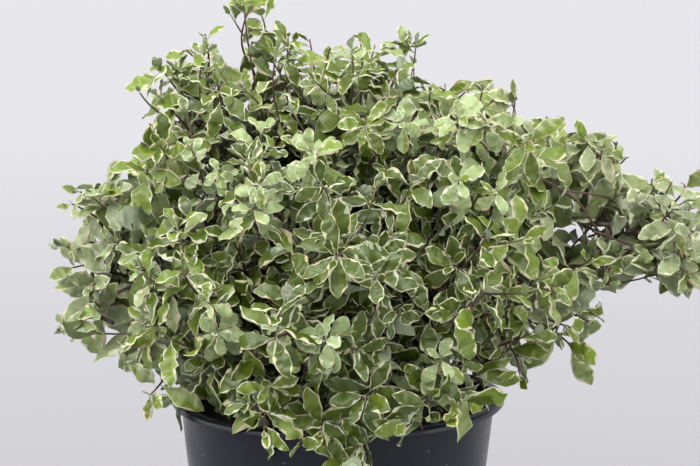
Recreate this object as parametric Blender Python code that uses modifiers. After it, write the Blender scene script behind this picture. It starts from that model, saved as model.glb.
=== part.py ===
"""Potted variegated pittosporum: a low multi-branched shrub in a round nursery pot.

Metres, +Z up. The origin is the middle of the pot's flat underside, +X is to the right of the
viewer and +Y runs away from the viewer. The crown is a shell of foliage masses in four tiers,
with sprays that break its outline. A short stem forks low down into boughs, and each bough
ends where it enters a mass. Sprays that stand clear of the crown have a stem of their own.
"""

import math
import random

import bmesh
import bpy
import numpy as np
from mathutils import Vector

# Pot
POT_HEIGHT = 0.205
POT_RIM_RADIUS = 0.130
POT_TOP_RADIUS = 0.1225
POT_BASE_RADIUS = 0.099
POT_WALL = 0.0020
POT_FLOOR = 0.0025
POT_COLLAR_HEIGHT = 0.0045
POT_COLLAR_WALL = 0.0018
POT_STEPS = 48
DRAIN_HOLES = 8
DRAIN_RADIUS = 0.0055
DRAIN_RING_RADIUS = 0.070

# Soil
SOIL_TOP = 0.186
GAP = 0.0003

# Short stem
STEM_BASE = Vector((0.005, 0.004, SOIL_TOP + GAP))
STEM_FORK = Vector((0.000, 0.008, 0.262))
STEM_FLARE_RADIUS = 0.0125
STEM_RADIUS = 0.0088
STEM_FORK_RADIUS = 0.0066
BARK_SIDES = 8

# Boughs: radius at the stem and where the bough enters its mass
BOUGH_RADIUS = 0.0044
BOUGH_TIP_RADIUS = 0.0024
BOUGH_POINTS = 8
SPRAY_STEM_RADIUS = 0.0021
SPRAY_STEM_TIP_RADIUS = 0.0014

# Foliage masses
MASS_GAP = 0.0006
MASS_SEGMENTS = 14
MASS_RINGS = 9
LUMP_DEPTH = 0.050
CROWN_SEED = 7

# Tiers of the crown, from the skirt over the pot's rim up to the top. Radii of a mass are
# radial, tangential and vertical. Turn is the bearing of the first mass in degrees from +X,
# core is how far the inner face stays from the crown's middle, lifts raise or lower single
# masses, and boughs is how many of the tier's masses have a bough of their own.
TIERS = {
    "skirt": dict(count=8, centre=(0.000, 0.000), ring=(0.126, 0.128), z=0.240,
                  radii=(0.052, 0.060, 0.050), turn=22.5, core=0.062, boughs=4,
                  lifts=(0.026, 0.006, 0.000, 0.004, 0.006, -0.006, 0.002, 0.038)),
    "flank": dict(count=8, centre=(0.008, 0.000), ring=(0.131, 0.134), z=0.320,
                  radii=(0.064, 0.064, 0.058), turn=0.0, core=0.052, boughs=4,
                  lifts=(0.004, 0.006, 0.000, -0.004, -0.002, 0.000, -0.006, 0.004)),
    "shoulder": dict(count=6, centre=(0.012, 0.004), ring=(0.108, 0.098), z=0.394,
                     radii=(0.066, 0.064, 0.056), turn=15.0, core=0.036, boughs=3,
                     lifts=(-0.006, 0.004, 0.004, 0.000, -0.006, -0.004)),
    "top": dict(count=3, centre=(0.004, 0.010), ring=(0.054, 0.046), z=0.437,
                radii=(0.060, 0.058, 0.050), turn=40.0, core=0.0, boughs=1,
                lifts=(0.000, 0.008, 0.005)),
}
TIER_FLOORS = {"top": 0.395}
MASS_SHIFT = 0.006
MASS_SPREAD = 0.07

# Sprays: where each one's mass is centred, the tip that it reaches, its thickness as a
# half-width, and whether a bare stem shows between it and the crown.
SPRAYS = {
    "leader_spray": dict(at=(-0.072, 0.020, 0.490), tip=(-0.076, 0.020, 0.523),
                         half=0.023, stem=False),
    "top_left_spray": dict(at=(-0.102, 0.010, 0.452), tip=(-0.108, 0.008, 0.486),
                           half=0.025, stem=False),
    "upper_left_spray": dict(at=(-0.138, -0.004, 0.426), tip=(-0.165, -0.006, 0.446),
                             half=0.025, stem=False),
    "left_spray": dict(at=(-0.184, -0.018, 0.350), tip=(-0.218, -0.022, 0.364),
                       half=0.030, stem=False),
    "lower_left_spray": dict(at=(-0.204, -0.030, 0.283), tip=(-0.233, -0.034, 0.277),
                             half=0.028, stem=True),
    "upper_right_spray": dict(at=(0.190, 0.026, 0.380), tip=(0.230, 0.030, 0.394),
                              half=0.028, stem=False),
    "right_spray": dict(at=(0.262, 0.012, 0.336), tip=(0.303, 0.014, 0.342),
                        half=0.040, stem=True),
    "lower_right_spray": dict(at=(0.180, -0.030, 0.260), tip=(0.206, -0.036, 0.232),
                              half=0.026, stem=False),
}

COLOURS = {
    "pot_plastic": ((0.026, 0.030, 0.043, 1.0), 0.42),
    "potting_soil": ((0.030, 0.021, 0.015, 1.0), 0.95),
    "bark": ((0.052, 0.026, 0.022, 1.0), 0.60),
    "foliage": ((0.150, 0.235, 0.090, 1.0), 0.55),
}


def clear_scene():
    for obj in list(bpy.data.objects):
        bpy.data.objects.remove(obj, do_unlink=True)


def make_collection(name):
    collection = bpy.data.collections.new(name)
    bpy.context.scene.collection.children.link(collection)
    return collection


def make_material(name):
    colour, roughness = COLOURS[name]
    material = bpy.data.materials.new(name)
    material.use_nodes = True
    shader = material.node_tree.nodes["Principled BSDF"]
    shader.inputs["Base Color"].default_value = colour
    shader.inputs["Roughness"].default_value = roughness
    shader.inputs["Metallic"].default_value = 0.0
    return material


def finish_object(obj, collection, material):
    """Puts the object in one collection only, with its material and smooth round faces."""
    for other in list(obj.users_collection):
        other.objects.unlink(obj)
    collection.objects.link(obj)
    obj.data.materials.clear()
    obj.data.materials.append(material)
    if obj.type == "MESH":
        obj.data.shade_smooth()
        obj.data.set_sharp_from_angle(angle=math.radians(40.0))
    return obj


def as_cutter(obj, collection):
    for other in list(obj.users_collection):
        other.objects.unlink(obj)
    collection.objects.link(obj)
    obj.hide_render = True
    obj.display_type = "WIRE"
    return obj


def turned(name, profile, collection, material):
    """A solid turned about Z from a profile of (radius, height) points, outer side downwards."""
    mesh = bpy.data.meshes.new(name)
    points = [(radius, 0.0, height) for radius, height in profile]
    edges = [(i, i + 1) for i in range(len(points) - 1)]
    mesh.from_pydata(points, edges, [])
    obj = bpy.data.objects.new(name, mesh)
    bpy.context.scene.collection.objects.link(obj)
    screw = obj.modifiers.new("turn", "SCREW")
    screw.axis = "Z"
    screw.angle = math.tau
    screw.steps = POT_STEPS
    screw.render_steps = POT_STEPS
    screw.use_merge_vertices = True
    screw.merge_threshold = 0.00005
    return finish_object(obj, collection, material)


def pot_outer_radius(height):
    """The pot's wall leans out evenly from its base to its collar."""
    return POT_BASE_RADIUS + (POT_TOP_RADIUS - POT_BASE_RADIUS) * height / POT_HEIGHT


def build_pot(collection, cutters, material):
    inner_floor = pot_outer_radius(POT_FLOOR) - POT_WALL
    top_inner = POT_TOP_RADIUS - POT_WALL
    collar_foot = POT_HEIGHT - POT_COLLAR_HEIGHT
    collar_roof = POT_HEIGHT - POT_COLLAR_WALL
    profile = [
        (0.0, POT_FLOOR),
        (inner_floor, POT_FLOOR),
        (top_inner, POT_HEIGHT - 0.0010),
        (top_inner + 0.0010, POT_HEIGHT),
        (POT_RIM_RADIUS - 0.0022, POT_HEIGHT),
        (POT_RIM_RADIUS - 0.0006, POT_HEIGHT - 0.0014),
        (POT_RIM_RADIUS, collar_foot),
        (POT_RIM_RADIUS - POT_COLLAR_WALL, collar_foot),
        (POT_RIM_RADIUS - POT_COLLAR_WALL - 0.0008, collar_roof),
        (pot_outer_radius(collar_roof) + 0.0002, collar_roof),
        (pot_outer_radius(0.004), 0.004),
        (POT_BASE_RADIUS - 0.0030, 0.0),
        (0.0, 0.0),
    ]
    pot = turned("pot", profile, collection, material)
    for index in range(DRAIN_HOLES):
        bearing = math.tau * (index / DRAIN_HOLES + 0.5 / POT_STEPS)
        place = (
            DRAIN_RING_RADIUS * math.cos(bearing),
            DRAIN_RING_RADIUS * math.sin(bearing),
            POT_FLOOR / 2,
        )
        bpy.ops.mesh.primitive_cylinder_add(
            vertices=10, radius=DRAIN_RADIUS, depth=4 * POT_FLOOR, location=place
        )
        hole = as_cutter(bpy.context.object, cutters)
        hole.name = f"drain_cutter_{index + 1}"
        cut = pot.modifiers.new(f"drain_{index + 1}", "BOOLEAN")
        cut.operation = "DIFFERENCE"
        cut.object = hole
    return pot


def build_soil(collection, material):
    foot = POT_FLOOR + GAP
    wall = POT_WALL + GAP
    profile = [
        (0.0, SOIL_TOP),
        (pot_outer_radius(SOIL_TOP) - wall, SOIL_TOP),
        (pot_outer_radius(foot) - wall, foot),
        (0.0, foot),
    ]
    return turned("soil", profile, collection, material)


def mesh_from_curve(curve, name):
    """The evaluated tube as a mesh object with its end caps welded on."""
    graph = bpy.context.evaluated_depsgraph_get()
    mesh = bpy.data.meshes.new_from_object(curve.evaluated_get(graph))
    work = bmesh.new()
    work.from_mesh(mesh)
    bmesh.ops.remove_doubles(work, verts=work.verts, dist=0.00002)
    bmesh.ops.recalc_face_normals(work, faces=work.faces)
    work.to_mesh(mesh)
    work.free()
    obj = bpy.data.objects.new(name, mesh)
    obj.matrix_world = curve.matrix_world
    bpy.context.scene.collection.objects.link(obj)
    bpy.data.objects.remove(curve, do_unlink=True)
    return obj


def limb(name, points, radii, extra=0.0):
    """A tapering round limb along the points. Extra widens it, for a clearance cutter."""
    data = bpy.data.curves.new(name + "_path", "CURVE")
    data.dimensions = "3D"
    data.bevel_depth = 1.0
    data.bevel_resolution = BARK_SIDES // 4
    data.use_fill_caps = True
    spline = data.splines.new("POLY")
    spline.points.add(len(points) - 1)
    for point, place, radius in zip(spline.points, points, radii):
        point.co = (*place, 1.0)
        point.radius = radius + extra
    curve = bpy.data.objects.new(name + "_path", data)
    bpy.context.scene.collection.objects.link(curve)
    bpy.context.view_layer.update()
    return mesh_from_curve(curve, name)


def bent_path(start, start_way, end, end_way, count):
    """Points on one cubic curve from start to end that sets off and arrives along given ways."""
    reach = (end - start).length / 3.0
    corners = [start, start + start_way * reach, end - end_way * reach, end]
    path = []
    for step in range(count):
        t = step / (count - 1)
        weights = [(1 - t) ** 3, 3 * t * (1 - t) ** 2, 3 * t * t * (1 - t), t**3]
        path.append(sum((c * w for c, w in zip(corners, weights)), Vector()))
    return path


def stem_point(share):
    """A point on the stem's line, share of the way from the soil to the fork."""
    lean = Vector((0.003, -0.002, 0.0)) * math.sin(math.pi * share)
    return STEM_BASE.lerp(STEM_FORK, share) + lean


def stem_radius(share):
    flare = (STEM_FLARE_RADIUS - STEM_RADIUS) * math.exp(-share / 0.10)
    return flare + STEM_RADIUS + (STEM_FORK_RADIUS - STEM_RADIUS) * share


def build_stem(collection, cutters, material):
    shares = [0.0, 0.03, 0.08, 0.16, 0.32, 0.55, 0.78, 0.94, 1.0]
    points = [stem_point(share) for share in shares]
    points[1].xy = points[0].xy
    radii = [stem_radius(share) for share in shares]
    radii[-1] *= 0.75
    stem = finish_object(limb("stem", points, radii), collection, material)
    room = as_cutter(limb("stem_room", points, radii, extra=GAP), cutters)
    return stem, room


def tier_mass_specs(rng):
    """One foliage mass for each place in each tier, as its centre, semi-axes and own planes."""
    specs = {}
    for tier, plan in TIERS.items():
        middle = Vector((*plan["centre"], plan["z"]))
        for index in range(plan["count"]):
            bearing = math.radians(plan["turn"]) + math.tau * index / plan["count"]
            outward = Vector((math.cos(bearing), math.sin(bearing), 0.0))
            sideways = Vector((-outward.y, outward.x, 0.0))
            ring = Vector((plan["ring"][0] * outward.x, plan["ring"][1] * outward.y, 0.0))
            shift = Vector([rng.uniform(-MASS_SHIFT, MASS_SHIFT) for _ in range(3)])
            centre = middle + ring + shift + Vector((0.0, 0.0, plan["lifts"][index]))
            planes = []
            if plan["core"]:
                planes.append((middle + outward * plan["core"], -outward))
            if tier in TIER_FLOORS:
                planes.append((Vector((0.0, 0.0, TIER_FLOORS[tier])), Vector((0, 0, -1))))
            if tier == "skirt":
                planes.append(rim_plane(centre))
            radial, tangential, vertical = (
                radius * rng.uniform(1.0 - MASS_SPREAD, 1.0 + MASS_SPREAD)
                for radius in plan["radii"]
            )
            axes = [outward * radial, sideways * tangential, Vector((0, 0, vertical))]
            specs[f"{tier}_foliage_{index + 1}"] = dict(
                centre=centre, axes=axes, planes=planes, outward=outward, tier=tier
            )
    return specs


def rim_plane(centre):
    """The slanting plane that keeps a skirt mass just above and outside the pot's rim."""
    away = Vector((centre.x, centre.y, 0.0)).normalized()
    edge = away * (POT_RIM_RADIUS + GAP) + Vector((0.0, 0.0, POT_HEIGHT + GAP))
    return edge, (-away - Vector((0, 0, 1))).normalized()


def spray_specs():
    """One longer mass for each spray, stretched from its centre towards its tip."""
    specs = {}
    for name, plan in SPRAYS.items():
        centre = Vector(plan["at"])
        reach = Vector(plan["tip"]) - centre
        along = reach.normalized()
        sideways = along.cross(Vector((0, 0, 1))).normalized()
        upward = sideways.cross(along)
        half = plan["half"]
        axes = [along * reach.length, sideways * half, upward * half]
        specs[name] = dict(centre=centre, axes=axes, planes=[], outward=along, tier="spray")
    return specs


def mean_radius(spec):
    return sum(axis.length for axis in spec["axes"]) / 3.0


def add_shared_planes(specs):
    """Each pair of masses meets at one plane, nearer the smaller one, with a thin gap."""
    names = list(specs)
    for first in names:
        for second in names:
            if first == second:
                continue
            a, b = specs[first], specs[second]
            across = b["centre"] - a["centre"]
            distance = across.length
            share = (distance**2 + mean_radius(a) ** 2 - mean_radius(b) ** 2) / (2 * distance**2)
            normal = across / distance
            point = a["centre"] + across * share - normal * (MASS_GAP / 2)
            a["planes"].append((point, normal))


def lumps(directions, rng):
    """Low waves over the unit sphere that make each mass uneven in its own way."""
    total = np.zeros(len(directions))
    for frequency in (2.6, 3.7, 5.3, 6.9):
        axis = np.array([rng.gauss(0, 1) for _ in range(3)])
        axis /= np.linalg.norm(axis)
        total += np.sin(frequency * directions @ axis + rng.uniform(0, math.tau))
    return 1.0 + LUMP_DEPTH * total


def mass_points(spec, directions, rng):
    """Each direction's reach is the lumpy ellipsoid's, cut short at the mass's planes."""
    frame = np.array([list(axis) for axis in spec["axes"]])
    reach = directions @ frame
    length = np.linalg.norm(reach, axis=1)
    ways = reach / length[:, None]
    limit = length * lumps(directions, rng)
    centre = np.array(spec["centre"])
    for point, normal in spec["planes"]:
        facing = ways @ np.array(normal)
        distance = float((np.array(point) - centre) @ np.array(normal))
        ahead = facing > 1e-6
        limit[ahead] = np.minimum(limit[ahead], distance / facing[ahead])
    return centre + ways * limit[:, None]


def build_mass(name, spec, rng):
    """A ball whose points are moved out to the mass's own surface."""
    work = bmesh.new()
    bmesh.ops.create_uvsphere(work, u_segments=MASS_SEGMENTS, v_segments=MASS_RINGS, radius=1.0)
    directions = np.array([list(vert.co.normalized()) for vert in work.verts])
    for vert, place in zip(work.verts, mass_points(spec, directions, rng)):
        vert.co = place
    bmesh.ops.triangulate(work, faces=work.faces)
    bmesh.ops.recalc_face_normals(work, faces=work.faces)
    mesh = bpy.data.meshes.new(name)
    work.to_mesh(mesh)
    work.free()
    obj = bpy.data.objects.new(name, mesh)
    bpy.context.scene.collection.objects.link(obj)
    return obj


def mass_room(mass, spec, cutters):
    """A copy of the mass, a little larger about its centre, that limbs are cut back from."""
    room = bpy.data.objects.new(mass.name + "_room", mass.data.copy())
    bpy.context.scene.collection.objects.link(room)
    growth = 1.0 + 2.0 * GAP / min(axis.length for axis in spec["axes"])
    for vert in room.data.vertices:
        vert.co = spec["centre"] + (vert.co - spec["centre"]) * growth
    return as_cutter(room, cutters)


def cut_from(obj, cutter):
    cut = obj.modifiers.new("clear_of_" + cutter.name, "BOOLEAN")
    cut.operation = "DIFFERENCE"
    cut.object = cutter


def taper(start, end, count):
    """Radii that thin evenly, quickest near the base, from start to end."""
    return [end + (start - end) * (1 - step / (count - 1)) ** 1.2 for step in range(count)]


def build_bough(name, spec, share, rooms, collection, material):
    """A limb that leaves the stem steeply, arches out and ends where it enters its mass."""
    start = stem_point(share)
    end = spec["centre"]
    outward = (end - start).normalized()
    flat = Vector((outward.x, outward.y, 0.0)).normalized()
    set_off = (flat * 0.9 + Vector((0, 0, 0.35 + outward.z))).normalized()
    arrive = (flat * 0.9 + Vector((0, 0, 0.25 + 0.6 * outward.z))).normalized()
    path = bent_path(start, set_off, end, arrive, BOUGH_POINTS)
    radii = taper(BOUGH_RADIUS, BOUGH_TIP_RADIUS, BOUGH_POINTS)
    bough = limb(name, path, radii)
    for room in rooms:
        cut_from(bough, room)
    return finish_object(bough, collection, material)


def build_boughs(specs, masses, stem_room, collection, cutters, material):
    """Boughs rise in order up the stem: the skirt's lowest, the top's from the fork."""
    shares = {"skirt": (0.13, 0.22), "flank": (0.37, 0.46), "shoulder": (0.63, 0.71), "top": (1.0, 1.0)}
    for tier, plan in TIERS.items():
        stride = plan["count"] // plan["boughs"]
        low, high = shares[tier]
        for turn in range(plan["boughs"]):
            place = turn * stride + 1
            name = f"{tier}_foliage_{place}"
            share = low + (high - low) * (turn % 2)
            room = mass_room(masses[name], specs[name], cutters)
            build_bough(
                f"{tier}_bough_{turn + 1}", specs[name], share, [stem_room, room],
                collection, material,
            )


def host_of(spray, specs):
    """The tier mass that a spray grows out of is the nearest one."""
    tiers = [name for name, spec in specs.items() if spec["tier"] != "spray"]
    return min(tiers, key=lambda n: (specs[n]["centre"] - specs[spray]["centre"]).length)


def build_spray_stems(specs, masses, collection, cutters, material):
    for name, plan in SPRAYS.items():
        if not plan["stem"]:
            continue
        host = host_of(name, specs)
        start, end = specs[host]["centre"], specs[name]["centre"]
        way = (end - start).normalized()
        rise = (way + Vector((0, 0, 0.25))).normalized()
        path = bent_path(start, rise, end, way, BOUGH_POINTS)
        radii = taper(SPRAY_STEM_RADIUS, SPRAY_STEM_TIP_RADIUS, BOUGH_POINTS)
        stem = limb(name.replace("_spray", "_stem"), path, radii)
        for end_mass in (host, name):
            cut_from(stem, mass_room(masses[end_mass], specs[end_mass], cutters))
        finish_object(stem, collection, material)


def main():
    clear_scene()
    plant = make_collection("potted_pittosporum")
    cutters = make_collection("cutters")
    plastic, soil, bark, foliage = (make_material(name) for name in COLOURS)
    build_pot(plant, cutters, plastic)
    build_soil(plant, soil)
    _, stem_room = build_stem(plant, cutters, bark)

    rng = random.Random(CROWN_SEED)
    specs = {**tier_mass_specs(rng), **spray_specs()}
    add_shared_planes(specs)
    masses = {}
    for name, spec in specs.items():
        masses[name] = finish_object(build_mass(name, spec, rng), plant, foliage)

    build_boughs(specs, masses, stem_room, plant, cutters, bark)
    build_spray_stems(specs, masses, plant, cutters, bark)


main()
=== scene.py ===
"""The look of a potted variegated pittosporum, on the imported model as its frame.

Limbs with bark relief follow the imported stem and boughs. A seeded rule grows branches on from
them and joins every shoot to a branch. Shoots are spread over the outer faces of the foliage
masses, bend up and outwards and carry a spiral of leaves that closes in a rosette. A leaf is a
thin closed blade whose cream edge and green halves are faces of their own.
Metres, in the model's frame: +Z up, +X to the right and +Y away from the camera.
"""

import math
from functools import lru_cache

import bpy
import numpy as np
from bpy.props import FloatProperty, FloatVectorProperty, IntProperty, PointerProperty
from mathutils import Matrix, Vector
from mathutils.bvhtree import BVHTree


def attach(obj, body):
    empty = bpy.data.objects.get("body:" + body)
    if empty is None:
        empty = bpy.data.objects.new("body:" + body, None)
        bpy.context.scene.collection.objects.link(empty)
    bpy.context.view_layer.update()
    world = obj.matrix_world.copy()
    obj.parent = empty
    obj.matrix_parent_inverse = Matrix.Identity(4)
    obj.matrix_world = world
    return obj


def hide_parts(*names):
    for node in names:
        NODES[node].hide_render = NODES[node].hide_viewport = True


bl_info = {
    "name": "Potted pittosporum",
    "version": (1, 0, 0),
    "blender": (4, 5, 0),
    "location": "3D Viewport > Sidebar > Pittosporum",
    "description": "Grows the plant's bark, twigs and leaves, finishes its pot and stages it",
    "category": "Object",
}

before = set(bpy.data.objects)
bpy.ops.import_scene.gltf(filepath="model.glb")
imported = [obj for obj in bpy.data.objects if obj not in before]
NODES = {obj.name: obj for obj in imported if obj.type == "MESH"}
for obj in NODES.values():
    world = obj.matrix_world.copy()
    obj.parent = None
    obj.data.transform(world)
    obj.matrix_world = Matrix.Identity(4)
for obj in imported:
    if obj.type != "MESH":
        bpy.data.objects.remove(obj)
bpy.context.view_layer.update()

MASS_NAMES = [name for name in NODES if "foliage" in name or name.endswith("_spray")]
BOUGH_NAMES = [name for name in NODES if "bough" in name]
SPRAY_STEM_NAMES = [name for name in NODES if name.endswith("_stem")]

GOLDEN_ANGLE = math.radians(137.5)
CROWN_MIDDLE = np.array([0.0, 0.005, 0.300])
UP = np.array([0.0, 0.0, 1.0])
RIGHT = np.array([1.0, 0.0, 0.0])

# The photograph's camera
IMAGE_SIZE = (700, 466)
LENS_MM = 105.0
SENSOR_MM = 36.0
CAMERA_DISTANCE = 1.6
CAMERA_ELEVATION = math.radians(8.75)
CAMERA_TARGET = np.array([0.0099, 0.0317, 0.3258])
SIGHT = np.array([0.0, math.cos(CAMERA_ELEVATION), -math.sin(CAMERA_ELEVATION)])
CAMERA_UP = np.cross(RIGHT, SIGHT)
CAMERA_PLACE = CAMERA_TARGET - CAMERA_DISTANCE * SIGHT

# Shoots that stand out in the photograph: the pixel of the tip, the pixel where the stem
# dips out of sight, and the kind of shoot
MARKED_SHOOTS = [
    (248, 438, 254, 404, "hang"), (268, 442, 272, 406, "hang"), (290, 452, 290, 412, "hang"),
    (196, 432, 214, 396, "hang"), (226, 440, 232, 404, "hang"), (352, 456, 352, 416, "hang"),
    (244, 8, 263, 118, "tall"), (277, 50, 288, 136, "tall"), (205, 50, 212, 125, "tall"),
    (176, 70, 202, 132, "tall"), (157, 95, 200, 143, "tall"), (220, 86, 212, 140, "whorl"),
    (190, 147, 206, 205, "tuft"), (147, 170, 160, 197, "whorl"), (140, 198, 150, 226, "whorl"),
    (92, 197, 138, 228, "tall"), (315, 82, 342, 124, "tall"), (360, 38, 357, 118, "lime"),
    (402, 42, 382, 112, "lime"), (310, 150, 318, 172, "bright"), (258, 183, 264, 206, "bright"),
    (252, 207, 256, 228, "bright"), (320, 185, 328, 205, "whorl"), (220, 172, 226, 192, "tuft"),
    (365, 127, 366, 150, "dense"), (400, 122, 404, 144, "bright"), (457, 117, 460, 138, "bright"),
    (480, 115, 484, 136, "bright"), (412, 180, 386, 219, "whorl"), (460, 180, 463, 202, "bright"),
    (497, 190, 478, 206, "bright"), (525, 142, 529, 168, "whorl"), (551, 130, 552, 160, "whorl"),
    (602, 150, 597, 180, "whorl"), (612, 200, 578, 217, "whorl"), (687, 200, 650, 246, "tall"),
    (380, 250, 376, 275, "whorl"), (335, 258, 354, 246, "whorl"), (377, 276, 386, 294, "whorl"),
    (425, 308, 416, 333, "whorl"), (365, 398, 374, 372, "whorl"), (340, 424, 352, 400, "whorl"),
    (207, 302, 228, 309, "bright"), (217, 332, 222, 312, "bright"), (322, 338, 330, 352, "lime"),
    (92, 286, 128, 277, "tall"), (566, 326, 520, 306, "tall"), (556, 292, 514, 264, "whorl"),
    (660, 250, 618, 253, "whorl"), (300, 442, 318, 415, "whorl"), (360, 446, 362, 420, "whorl"),
    (640, 192, 622, 215, "whorl"), (672, 182, 655, 225, "tall"), (612, 268, 590, 255, "whorl"),
    (72, 268, 110, 262, "whorl"), (150, 395, 168, 372, "whorl"), (590, 262, 560, 270, "whorl"),
    (183, 422, 200, 392, "hang"), (224, 440, 222, 405, "hang"), (264, 430, 268, 395, "hang"),
    (345, 455, 350, 425, "hang"), (385, 447, 380, 415, "hang"), (409, 432, 398, 405, "hang"),
    (466, 425, 452, 398, "hang"), (168, 405, 190, 380, "hang"), (84, 310, 112, 282, "hang"),
    (58, 246, 110, 244, "whorl"), (125, 365, 150, 340, "hang"), (520, 375, 505, 345, "hang"),
    (125, 85, 168, 118, "whorl"), (205, 34, 208, 84, "tall"), (160, 66, 188, 102, "whorl"),
    (186, 50, 204, 96, "whorl"), (153, 127, 172, 146, "whorl"), (288, 38, 286, 90, "whorl"),
    (375, 45, 372, 100, "whorl"), (330, 48, 334, 95, "whorl"), (262, 16, 258, 70, "whorl"),
    (228, 22, 238, 70, "whorl"), (352, 50, 350, 110, "whorl"), (416, 44, 396, 106, "tall"),
    (482, 92, 476, 132, "whorl"), (512, 104, 502, 142, "whorl"), (540, 124, 534, 160, "whorl"),
    (588, 142, 574, 172, "whorl"), (612, 158, 596, 186, "whorl"), (80, 192, 115, 216, "whorl"),
    (110, 190, 130, 222, "whorl"), (62, 326, 106, 300, "hang"), (590, 322, 548, 298, "whorl"),
    (690, 256, 642, 250, "whorl"), (688, 272, 640, 256, "whorl"), (95, 362, 98, 318, "hang"),
    (612, 314, 572, 298, "whorl"), (598, 368, 560, 328, "tall"), (610, 284, 580, 262, "whorl"),
    (446, 92, 440, 130, "whorl"), (430, 92, 424, 126, "whorl"), (465, 92, 462, 130, "whorl"),
    (248, 12, 250, 64, "whorl"), (266, 10, 260, 60, "tall"), (520, 376, 496, 346, "hang"),
    (150, 412, 166, 380, "hang"), (294, 42, 292, 88, "tall"), (484, 402, 472, 376, "hang"),
    (455, 412, 446, 388, "hang"), (430, 414, 424, 388, "hang"), (405, 424, 400, 396, "hang"),
    (500, 392, 486, 368, "hang"), (322, 430, 326, 400, "hang"), (112, 300, 138, 280, "hang"),
    (616, 146, 600, 178, "whorl"), (694, 232, 652, 236, "whorl"), (72, 204, 112, 228, "whorl"),
    (66, 246, 108, 262, "whorl"), (50, 290, 96, 270, "tall"), (62, 328, 104, 312, "whorl"),
    (93, 352, 110, 318, "hang"), (124, 372, 138, 345, "hang"), (150, 405, 176, 380, "hang"),
    (186, 428, 200, 398, "hang"), (688, 282, 676, 250, "hang"), (662, 268, 650, 245, "hang"),
    (598, 366, 582, 345, "hang"), (574, 354, 556, 336, "hang"), (652, 180, 640, 206, "tall"),
    (684, 184, 668, 208, "tall"), (515, 100, 505, 130, "whorl"), (566, 138, 548, 162, "whorl"),
    (410, 42, 400, 90, "tall"), (162, 66, 192, 108, "whorl"), (140, 93, 176, 122, "whorl"),
    (148, 148, 168, 178, "whorl"), (140, 166, 162, 190, "whorl"), (160, 146, 176, 172, "whorl"),
    (532, 368, 518, 345, "whorl"), (508, 396, 500, 376, "hang"), (612, 320, 596, 306, "whorl"),
    (626, 158, 606, 176, "whorl"), (146, 412, 170, 392, "hang"), (92, 346, 112, 322, "hang"),
    (88, 355, 100, 330, "hang"), (64, 330, 88, 312, "hang"), (118, 345, 134, 326, "hang"),
    (596, 364, 576, 340, "hang"), (600, 318, 584, 304, "whorl"), (546, 122, 542, 150, "whorl"),
]

# Round places where the backdrop shows through, and where the pot does: the pixel of the
# middle and the radius in pixels
OPEN_BACKDROP = [
    (172, 30, 17), (134, 60, 13), (150, 48, 8), (107, 76, 12), (104, 106, 16), (128, 112, 15),
    (126, 136, 15), (108, 140, 16), (212, 18, 9), (228, 48, 9), (237, 68, 7), (318, 27, 11),
    (314, 45, 6), (350, 24, 10), (386, 24, 8), (436, 50, 12), (430, 67, 12), (458, 66, 11),
    (504, 75, 11), (533, 88, 11), (548, 100, 8), (578, 108, 13), (606, 117, 9), (630, 134, 11),
    (647, 160, 10), (668, 166, 11), (66, 169, 7), (97, 168, 9), (57, 227, 8), (46, 232, 8),
    (50, 262, 13), (70, 297, 7), (42, 314, 13), (70, 308, 8), (62, 352, 14), (76, 370, 10),
    (116, 358, 8), (104, 388, 14), (124, 398, 12), (130, 428, 12), (152, 446, 18), (171, 448, 14),
    (606, 226, 8), (630, 286, 9), (646, 296, 13), (668, 306, 13), (650, 325, 20), (690, 320, 20),
    (602, 340, 9), (558, 368, 17), (536, 410, 15), (512, 428, 13), (20, 180, 40), (20, 400, 60),
    (38, 244, 10), (130, 412, 12), (152, 429, 10), (168, 431, 9), (522, 397, 9), (604, 298, 9),
    (617, 336, 10), (590, 338, 7), (232, 40, 8), (412, 72, 6), (82, 259, 6), (109, 352, 5),
    (374, 33, 6), (104, 148, 16), (56, 408, 40), (122, 75, 8), (132, 104, 9), (30, 276, 10),
    (79, 346, 4), (112, 338, 7), (546, 378, 12), (518, 410, 12), (576, 380, 8), (608, 364, 8),
    (620, 310, 7), (598, 302, 5), (592, 224, 5), (630, 168, 8), (612, 126, 6), (640, 150, 6),
    (526, 112, 5), (480, 72, 6), (420, 68, 6), (332, 38, 7), (382, 42, 5), (200, 28, 6),
    (174, 48, 7), (190, 38, 6), (284, 12, 8), (226, 38, 7), (271, 24, 4), (296, 20, 8),
    (262, 62, 4), (84, 158, 9), (36, 278, 5), (56, 309, 5), (80, 356, 6), (132, 384, 6),
    (446, 68, 9), (506, 84, 6), (536, 110, 7), (590, 122, 5), (494, 428, 9), (600, 378, 7),
    (612, 350, 6), (632, 300, 7), (150, 108, 7), (148, 78, 6), (242, 60, 6), (236, 28, 5),
    (76, 226, 6), (66, 262, 5), (555, 107, 6), (584, 120, 6), (600, 118, 6), (672, 179, 5),
    (688, 178, 6), (537, 386, 8), (66, 222, 5), (63, 308, 4), (50, 329, 4), (90, 270, 4),
    (122, 160, 4), (466, 79, 4), (620, 180, 4), (636, 172, 4), (652, 286, 6), (668, 292, 6),
    (640, 276, 4),
]
OPEN_POT = [
    (243, 450, 14), (205, 452, 16), (395, 464, 12), (440, 450, 26), (487, 443, 18), (300, 464, 9),
    (190, 440, 9), (268, 462, 12), (322, 464, 8), (376, 462, 10), (418, 455, 16), (470, 436, 12),
    (503, 408, 9), (222, 440, 7), (480, 455, 22), (283, 466, 8),
]

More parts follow.
